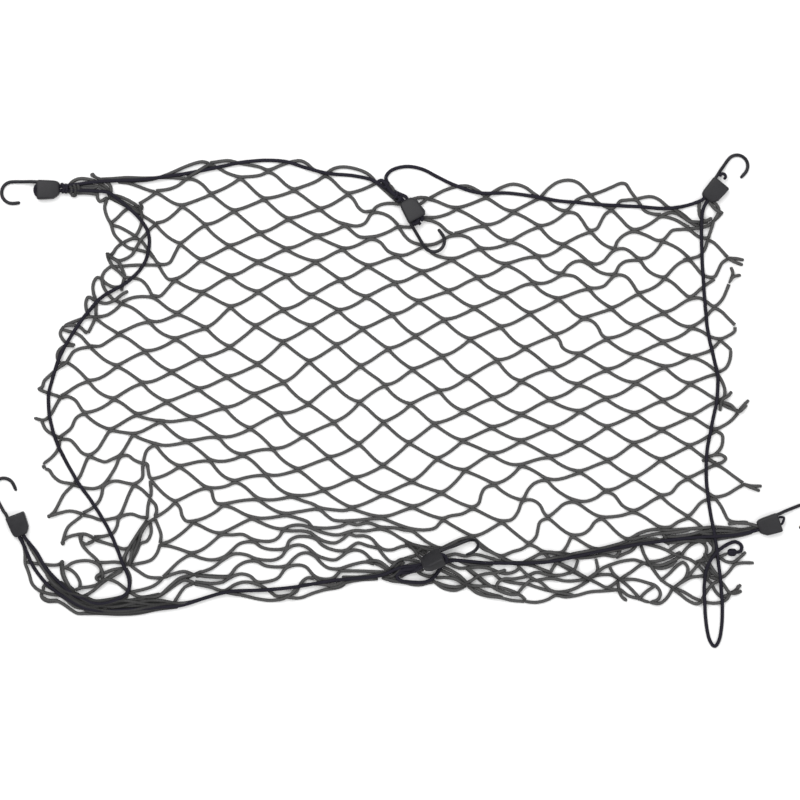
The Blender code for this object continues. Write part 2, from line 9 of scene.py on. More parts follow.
import bpy
import numpy as np
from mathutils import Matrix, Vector

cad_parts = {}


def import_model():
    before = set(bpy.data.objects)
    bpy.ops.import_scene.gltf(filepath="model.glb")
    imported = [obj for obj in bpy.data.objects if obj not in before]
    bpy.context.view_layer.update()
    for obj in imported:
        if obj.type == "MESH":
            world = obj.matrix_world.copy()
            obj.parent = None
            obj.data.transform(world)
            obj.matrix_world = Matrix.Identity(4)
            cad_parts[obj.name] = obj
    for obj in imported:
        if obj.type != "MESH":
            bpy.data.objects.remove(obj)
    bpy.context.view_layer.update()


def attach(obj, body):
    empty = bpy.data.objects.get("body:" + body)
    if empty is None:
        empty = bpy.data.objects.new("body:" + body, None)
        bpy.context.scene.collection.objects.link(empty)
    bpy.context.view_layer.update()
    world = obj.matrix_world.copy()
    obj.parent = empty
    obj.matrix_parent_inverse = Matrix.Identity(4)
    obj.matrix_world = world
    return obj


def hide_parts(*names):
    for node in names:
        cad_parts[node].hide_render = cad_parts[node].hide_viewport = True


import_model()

MM = 0.001
LAYOUT_RIGHT = 403.2
LAYOUT_DOWN = 400.6

# ---------------------------------------------------------------- sizes (mm)
STRAND_R = 1.75           # mesh cord
BORDER_R = 1.85           # border cord
SAG = 0.8                 # how far a bar hangs below the line of its joints
FLAT = 5.5                # how much flatter a bar is at its joints
JOINT_HALF = 1.15         # half the distance between the two cords of a joint

BODY_LEN = 22.0
WIRE_D = 3.5
WIRE_SIDE = 8.2
WIRE_BEND_R = 10.8
WIRE_TIP = 8.0
NET_THICK = 4.0
GAP = 0.45

# ------------------------------------------------------------------ the chart
# row: {column: (right, down)}. A bar joins each joint to the next column's
# joints in the rows above and below.
ROWS = {
    -12: {-6: (239, 162), -4: (290, 161)},
    -11: {-7: (210, 164), -5: (268, 171), -3: (325, 175), -1: (376, 182),
          1: (428.5, 198), 3: (486, 197), 5: (540, 197.5), 7: (590.5, 195),
          9: (636.5, 199)},
    -10: {-8: (187, 178), -6: (240, 178), -4: (294, 190), -2: (348, 194),
          2: (457.5, 208.5), 4: (513.5, 212), 6: (566.5, 211.5),
          8: (612, 209.5), 10: (661, 215.5)},
    -9: {-9: (156, 192), -7: (211, 194), -5: (264, 199), -3: (320, 209),
         -1: (372, 212), 3: (485, 225.5), 5: (539.5, 226.5), 7: (591, 231.5),
         9: (633.5, 230.5), 11: (689, 228.5)},
    -8: {-10: (139, 205), -8: (182, 206), -6: (234, 211), -4: (288, 219),
         -2: (345, 225), 0: (398, 226), 2: (454.5, 234.5), 4: (511, 241.5),
         6: (563.5, 245), 8: (614.5, 249), 10: (663, 241), 12: (708, 239)},
    -7: {-11: (111, 224), -9: (156, 224), -7: (205, 225), -5: (260, 233),
         -3: (317, 236), -1: (371, 238), 1: (424, 246), 3: (480, 248.5),
         5: (537.5, 256.5), 7: (588.5, 263), 9: (640, 259.5), 11: (689, 259),
         13: (727.5, 258)},
    -6: {-10: (135, 237), -8: (180, 244), -6: (229, 246), -4: (286, 249),
         -2: (343, 249), 0: (398, 256), 2: (452, 259.5), 4: (506, 264.5),
         6: (561.5, 274), 8: (615, 274.5), 10: (665, 278), 12: (714.5, 278)},
    -5: {-11: (123, 244), -9: (159, 265), -7: (201, 260), -5: (258, 262),
         -3: (316, 262), -1: (368, 266), 1: (422.5, 272), 3: (477.5, 277.5),
         5: (533.5, 283), 7: (589, 288.5), 9: (638.5, 293.5), 11: (690, 298),
         13: (729, 283)},
    -4: {-8: (175, 280), -6: (230, 276), -4: (287, 276), -2: (340, 280),
         0: (395, 283), 2: (448, 291), 4: (503.5, 294.5), 6: (558.5, 299),
         8: (611.5, 308.5), 10: (664, 313), 12: (714, 307.5)},
    -3: {-9: (152.5, 296.5), -7: (202.5, 292.5), -5: (258, 292),
         -3: (311.5, 295.5), -1: (366.5, 297), 1: (418.5, 301.5),
         3: (474.5, 308), 5: (530, 313.5), 7: (582.5, 318.5), 9: (636, 326),
         11: (691.5, 327.5), 13: (735, 326)},
    -2: {-10: (122, 303), -8: (177.5, 313.5), -6: (230.5, 307), -4: (283, 310),
         -2: (338.5, 310.5), 0: (392.5, 315), 2: (444, 320), 4: (501, 327),
         6: (555, 335), 8: (606.5, 339), 10: (663, 342), 12: (720, 340)},
    -1: {-9: (149, 321.5), -7: (206, 328), -5: (255.5, 326), -3: (311, 326),
         -1: (362.5, 329), 1: (415.5, 336), 3: (470, 339.5), 5: (525, 348),
         7: (580, 354), 9: (635, 355.5), 11: (690.5, 356.5)},
    0: {-10: (119, 334), -8: (175.5, 339), -6: (230, 347), -4: (283, 342),
        -2: (336.5, 345), 0: (388, 349), 2: (442.5, 356.5), 4: (497, 360.5),
        6: (551, 368.5), 8: (606.5, 370), 10: (664.5, 367), 12: (717, 373)},
    1: {-11: (91, 347), -9: (145, 351.5), -7: (201, 357.5), -5: (258, 364),
        -3: (309, 361.5), -1: (360.5, 366), 1: (412.5, 369.5),
        3: (467.5, 377.5), 5: (521, 381.5), 7: (578.5, 384.5), 9: (636, 383),
        11: (690, 384)},
    2: {-12: (66, 361), -10: (117, 366), -8: (171.5, 372), -6: (227, 377),
        -4: (284, 382.5), -2: (334, 384), 0: (385, 385.5), 2: (439.5, 391),
        4: (493, 398), 6: (549.5, 399.5), 8: (606, 398.5), 10: (663, 400.5),
        12: (717.5, 401)},
    3: {-11: (88, 381), -9: (142, 383), -7: (198.5, 389), -5: (254, 394.5),
        -3: (308.5, 404), -1: (359.5, 402.5), 1: (410.5, 404.5),
        3: (463.5, 411.5), 5: (521.5, 414.5), 7: (580, 411.5), 9: (635, 413.5),
        11: (691, 416), 13: (738, 412)},
    4: {-12: (61, 397), -10: (114, 399), -8: (166.5, 402), -6: (224.5, 408),
        -4: (279.5, 413.5), -2: (334, 422.5), 0: (383.5, 422.5), 2: (434, 424),
        4: (492, 427.5), 6: (551.5, 428), 8: (607, 427), 10: (662, 430),
        12: (716, 430)},
    5: {-11: (84, 413), -9: (136.5, 414.5), -7: (192.5, 418), -5: (250.5, 428.5),
        -3: (303.5, 436), -1: (359, 444), 1: (409, 443), 3: (462.5, 441),
        5: (521.5, 441), 7: (580, 444), 9: (633.5, 443.5), 11: (689.5, 446)},
    6: {-12: (60, 438), -10: (110, 430), -8: (161, 421.5), -6: (218.5, 437),
        -4: (273, 449), -2: (329, 457.5), 0: (383, 465.5), 2: (437, 459),
        4: (491, 454), 6: (550, 457), 8: (608, 460.5), 10: (661, 460),
        12: (716, 464)},
    7: {-11: (89, 456), -9: (133, 434.5), -7: (187, 441.5), -5: (243, 455),
        -3: (298, 469.5), -1: (354, 478), 1: (412, 481.5), 3: (465, 470.5),
        5: (521, 465.5), 7: (580, 472), 9: (634.5, 478), 11: (688, 478.5),
        13: (743, 484)},
    8: {-12: (74, 484), -10: (120, 456), -8: (155, 444.5), -6: (210, 460.5),
        -4: (266, 475), -2: (323.5, 490), 0: (383, 494.5), 2: (442, 493),
        4: (494.5, 484.5), 6: (546.5, 479.5), 8: (605, 491), 10: (661, 496),
        12: (715, 498)},
    9: {-11: (103, 486), -9: (143, 464), -7: (179, 466.5), -5: (235, 481.5),
        -3: (291.5, 496), -1: (351, 508), 1: (413, 507), 3: (473, 508),
        5: (522.5, 500.5), 7: (574.5, 501), 9: (633.5, 511.5),
        11: (688.5, 517)},
    10: {-12: (83, 514), -10: (134, 485), -8: (150.5, 479.5), -6: (205, 487.5),
         -4: (258, 499), -2: (319, 508.5), 0: (382, 517.5), 2: (443, 519.5),
         4: (502, 522), 6: (548, 517.5), 8: (602, 518), 10: (660, 528)},
    11: {-11: (119, 517), -9: (150, 498), -7: (175, 502), -5: (223, 505),
         -3: (286, 514.5), -1: (348, 522), 1: (412, 530), 3: (473, 537),
         5: (529, 544), 7: (572, 536), 9: (628, 540)},
    12: {-12: (94, 538), -10: (147, 519), -8: (155, 518), -6: (194, 522),
         -4: (252, 518), -2: (316, 529), 0: (380, 528), 2: (440, 549),
         4: (501, 557), 6: (542, 552), 8: (598, 550)},
    13: {-7: (160, 544), -5: (221, 534), -3: (283, 530), -1: (349, 533),
         1: (409, 544), 7: (566, 555)},
    14: {-6: (191, 554), -4: (254, 541), -2: (316, 538), 0: (378, 547)},
    15: {-7: (163, 578), -5: (224, 558), -3: (286, 549), -1: (347, 551)},
    16: {-6: (196, 575), -4: (256, 560), -2: (316, 556), 0: (374, 563)},
    17: {-5: (229, 577), -3: (286, 567), -1: (340, 570)},
    18: {-6: (195, 583), -4: (257, 583), -2: (314, 577)},
    19: {-5: (224, 592), -3: (285, 597)},
}

# how far the joints of each row lie turned, at five columns from the left side
# to the right: a bar leaves such a joint this much off its line, in mm over
# its length, up to the right being positive. Where the mesh is slack every
# second row lies turned the other way, as the cords cross in turn.
TURN_AT = (-10.0, -5.0, 0.0, 5.0, 10.0)
TURNS = {
    -12: (10, 10, 6, 0, 0), -11: (10, 12, 5, -1, 0), -10: (6, 5, -1, 8, 5),
    -9: (2, 0, -8, -7, -5), -8: (9, -1, 5, 10, 8), -7: (-10, -4, 2, -10, -17),
    -6: (9, -4, -7, 11, 11), -5: (1, -1, 1, -12, -1), -4: (0, -7, -6, 5, -4),
    -3: (2, 4, 5, 2, 10), -2: (11, -5, -4, -3, -4), -1: (-13, 2, 0, 6, 4),
    0: (9, 2, -3, -6, -3), 1: (-7, 0, -2, 10, 6), 2: (6, -3, -9, -5, -6),
    3: (-10, 3, 7, 4, 2), 4: (8, -9, 0, -3, 4), 5: (-7, 6, 2, 3, -1),
    6: (3, -12, 3, -9, 1), 7: (-5, 10, -6, 9, -2), 8: (-3, -10, 2, -10, -6),
    9: (-3, 12, -5, 5, -3), 10: (-1, -7, -1, 0, 4), 11: (-5, 10, -5, -3, 8),
    12: (3, -2, -6, 4, 1), 13: (7, 4, 2, -6, -4), 14: (-3, -11, 0, 0, 0),
    16: (1, 3, 0, 0, 0), 17: (0, -4, 0, 0, 0),
}

# bars that aren't there, or that are laid one by one below
NO_BAR = {
    (-8, -10, -7), (-6, -10, -7), (2, -12, 1), (-5, -11, -4),
    (12, -10, 11), (12, -10, 13), (13, -7, 12), (15, -7, 16), (-7, 11, -8),
    (-6, 12, -5), (-1, 11, -2),
}

# extra points of the bars that run out of true: (row, column, next row)
VIAS = {
    # upper edge
    (-11, -7, -12): [(218, 161.5), (229, 160.5)],
    (-12, -6, -11): [(250, 165), (260, 167)],
    (-11, -5, -12): [(280, 165.5)],
    (-12, -4, -11): [(300, 160.5), (307, 163.5), (313, 169)],
    (-11, -7, -10): [(218, 168), (226, 172.5)],
    (-10, -8, -11): [(195, 173.5), (203, 169)],
    (-10, -8, -9): [(195, 180), (203, 185)],
    (-9, -9, -10): [(169, 189), (178, 185.5)],
    (-11, 5, -10): [(547, 200.5), (552, 205), (559, 209.3)],
    (-10, 6, -11): [(572, 205), (578, 199)],
    (-11, 7, -10): [(597, 202), (604, 206)],
    (-10, 8, -11): [(617, 205), (620, 201), (627, 200)],
    (-11, 9, -10): [(640, 204), (645, 211), (654, 214)],
    (-10, 10, -9): [(675, 219.5), (683, 224)],
    (-8, 10, -9): [(668, 235), (672, 230.5), (680, 229.5)],
    (-9, 11, -8): [(696, 235), (702, 238)],
    (-10, 8, -9): [(616, 214), (622, 220), (627, 225.5)],
    (-9, 7, -10): [(597, 228.5), (601, 221.5), (605.5, 214)],
    (-8, 8, -9): [(617, 242), (624, 235)],
    (-8, 8, -7): [(624, 248.6), (631, 252), (636, 256.5)],
    (-9, 9, -8): [(648, 236), (656, 240)],
    (-10, 6, -9): [(576, 213.5), (582, 220), (588, 229)],
    # round the upper middle hook
    (-10, -2, -9): [(354, 200), (358, 207), (364, 211.5)],
    (-9, -1, -8): [(381, 213), (390, 217)],
    (-8, -2, -9): [(357, 226), (365, 223)],
    (-8, -2, -7): [(352, 231.5), (359, 236.6)],
    (-8, 0, -7): [(404, 235), (411, 241.5)],
    (-7, 1, -8): [(434, 244), (441, 241), (448, 237)],
    (-7, 1, -6): [(429, 250.5), (436, 255.5)],
    (-7, -1, -6): [(380, 242), (388, 251)],
    # right edge
    (-8, 12, -7): [(713, 242)],
    (-7, 11, -6): [(696, 267), (703, 275)],
    (-6, 12, -7): [(718, 271), (722, 263)],
    (-6, 12, -5): [(721, 279)],
    (-5, 11, -6): [(703, 287)],
    (-5, 11, -4): [(700, 298), (706, 301)],
    (-4, 12, -3): [(721, 311), (728, 318)],
    (-4, 12, -5): [(722, 300), (726, 292)],
    (-3, 11, -4): [(700, 322), (706, 317)],
    (-3, 11, -2): [(701, 331), (710, 336.5)],
    (-2, 12, -3): [(729, 335.5), (735, 331)],
    (-1, 11, 0): [(701, 360.5), (710, 366)],
    (2, 12, 3): [(728, 407.5)],
    (4, 12, 3): [(725, 425), (732, 420)],
    (6, 12, 7): [(724, 469), (732, 475)],
    (7, 11, 6): [(700, 472.5), (708, 468.5)],
    (8, 12, 7): [(727, 494.5), (736, 489)],
    (9, 11, 8): [(694, 511), (700, 503.5), (706, 500)],
    # left edge
    (-7, -11, -8): [(117, 218), (126, 209.5)],
    (-7, -11, -6): [(118, 226.5), (127, 231)],
    (-6, -10, -5): [(141, 240.5), (146, 247), (152, 255)],
    (-5, -11, -6): [(128, 240)],
    (-2, -10, -3): [(131, 298), (141, 296.5)],
    (-3, -9, -4): [(160, 296), (167, 289)],
    (-5, -9, -4): [(163, 273), (168, 279)],
    (-5, -9, -6): [(169, 263), (175, 253)],
    (4, -12, 5): [(67, 396.5), (75, 400)],
    (6, -12, 5): [(71, 428), (76, 418)],
    (6, -12, 7): [(70, 440), (76, 446), (82, 453)],
    (8, -12, 7): [(80, 476), (84, 466)],
    (8, -12, 9): [(85, 488), (95, 488.5)],
    (10, -12, 9): [(92, 508), (99, 501), (102, 493)],
    (10, -12, 11): [(92, 517), (100, 520), (110, 519)],
    (9, -11, 10): [(110, 482), (117, 481), (126, 483)],
    (11, -11, 10): [(125, 504), (129, 494)],
    (11, -11, 12): [(131, 514), (140, 517)],
    (12, -12, 11): [(105, 536), (113, 533), (117, 526)],
    (7, -11, 6): [(97, 450), (103, 441)],
    (6, -10, 7): [(120, 432)],
    (8, -10, 7): [(128, 443)],
    (7, -11, 8): [(98, 460), (105, 462), (112, 459)],
    (8, -10, 9): [(128, 455.5), (134, 460)],
    (9, -11, 8): [(110, 476), (116, 466)],
    (9, -9, 8): [(144, 458), (147, 450)],
    (10, -10, 9): [(142, 478)],
    (9, -9, 10): [(147, 463.5), (148, 470)],
    (10, -10, 11): [(141, 489)],
    (1, -11, 0): [(100, 346), (110, 340)],
    # inner bars
    (-3, 7, -2): [(592, 321), (598, 327), (602, 335)],
    (-2, 6, -1): [(560, 341), (562, 347), (570, 352)],
    (-8, 2, -7): [(462, 235.5), (470, 238.5), (475, 243.5)],
    (-7, 7, -8): [(596, 264), (604, 261), (609, 255)],
    (-6, 6, -7): [(568, 266), (574, 262), (581, 261)],
    (-6, 8, -7): [(619, 266), (625, 261.5), (632, 260.5)],
    (-6, 8, -5): [(622, 275), (628, 278), (634, 286)],
    (-6, 6, -5): [(567, 275), (575, 276.5), (582, 282)],
    (-5, 7, -6): [(596, 288), (604, 286), (610, 280)],
    # steep fold
    (11, -9, 12): [(155.5, 505), (156.5, 511)],
    (12, -8, 13): [(158, 526), (161, 535)],
    (11, -7, 12): [(180, 508), (182, 516), (186, 521)],
    (10, -6, 11): [(211, 490), (213, 498), (216, 503)],
    # gathered rows
    (9, -3, 8): [(302, 495.5), (313, 494)],
    (9, -3, 10): [(303, 501), (313, 504)],
    (11, -3, 10): [(300, 511.5)],
    (10, -2, 9): [(335, 510), (345, 510.5)],
    (10, -2, 11): [(326, 515), (333, 520), (342, 521)],
    (11, -3, 12): [(300, 519), (308, 522), (312, 527)],
    (12, -2, 11): [(330, 528), (342, 526)],
    (12, -2, 13): [(326, 533.5), (338, 535)],
    (11, -1, 10): [(360, 520), (370, 519)],
    (11, -1, 12): [(357, 525), (366, 523), (373, 524)],
    (13, -1, 12): [(355, 530.5), (366, 531)],
    (13, -1, 14): [(355, 536), (365, 536), (372, 539)],
    (13, -3, 12): [(290, 526), (300, 525), (309, 527)],
    (13, -3, 14): [(292, 531), (303, 531), (311, 533)],
    (14, -2, 13): [(325, 541.5), (335, 543), (343, 539)],
    (15, -3, 14): [(289, 541), (296, 537), (306, 536.5)],
    (14, -2, 15): [(322, 545), (330, 549), (340, 551)],
    (15, -1, 14): [(352, 546), (358, 543), (368, 546)],
    (15, -3, 16): [(292, 546), (300, 545), (308, 548)],
    (16, -2, 15): [(325, 558.5), (335, 560), (342, 556)],
    (17, -3, 16): [(292, 560), (300, 554), (308, 553)],
    (16, -2, 17): [(320, 562), (328, 568)],
    (15, -1, 16): [(355, 550), (363, 552), (370, 558)],
    (17, -1, 16): [(345, 567), (355, 564), (366, 562)],
    (17, -3, 18): [(297, 565), (306, 567)],
    (18, -2, 17): [(322, 579), (333, 578)],
    (19, -3, 18): [(296, 592), (301, 583), (307, 578)],
    (13, -5, 14): [(232, 535), (243, 534.5)],
    (14, -4, 13): [(272, 541), (279, 537)],
    (14, -4, 15): [(261, 547), (271, 549.5)],
    (15, -5, 14): [(232, 550), (240, 543.5)],
    (14, -6, 15): [(200, 558), (212, 560)],
    (15, -5, 16): [(234, 554), (247, 555)],
    (16, -6, 15): [(212, 568)],
    (15, -7, 14): [(181, 560)],
    (17, -5, 16): [(236, 567.5), (244, 562.5)],
    (16, -4, 17): [(266, 566)],
    (16, -4, 15): [(274, 560), (282, 556)],
    (18, -6, 17): [(212, 583.5), (223, 582)],
    (17, -5, 18): [(240, 574), (250, 576)],
    (18, -4, 17): [(268, 581.5), (278, 578)],
    (18, -4, 19): [(268, 590), (276, 596)],
    (19, -5, 18): [(234, 585), (244, 582)],
    (18, -6, 19): [(210, 587)],
    (12, 0, 13): [(390, 532), (400, 538)],
    (12, 0, 11): [(395, 528), (404, 530)],
    (14, 0, 13): [(384, 549.5), (392, 550), (400, 547)],
    (11, 1, 12): [(419, 536), (427, 542)],
    (11, 1, 10): [(425, 530), (435, 528)],
    (10, 2, 9): [(450, 516), (462, 514)],
    (9, 3, 8): [(479, 503), (481, 495), (485, 488)],
    (10, 4, 9): [(512, 519.5), (518, 512)],
    (9, 5, 8): [(528, 490), (535, 483)],
    (9, 5, 10): [(532, 500), (540, 505), (544, 513)],
    (11, 5, 10): [(536, 537), (538, 529), (540, 522)],
    (12, 4, 11): [(512, 552), (522, 549)],
    (12, 6, 11): [(552, 552.5), (562, 552), (567, 546)],
    (10, 6, 9): [(556, 511), (564, 504)],
    (9, 7, 8): [(585, 501.5), (596, 498)],
    (8, 8, 9): [(614, 495), (623, 506)],
    (11, 7, 10): [(583, 534), (590, 529), (595, 522)],
    (10, 8, 9): [(610, 517), (622, 515.5)],
    (9, 9, 10): [(645, 517.5), (653, 523)],
    (8, 10, 7): [(671, 493), (679, 484)],
    (10, 10, 9): [(670, 527), (679, 521.5)],
    (11, 5, 12): [(536, 547)],
    (11, 9, 10): [(640, 533), (650, 530)],
}
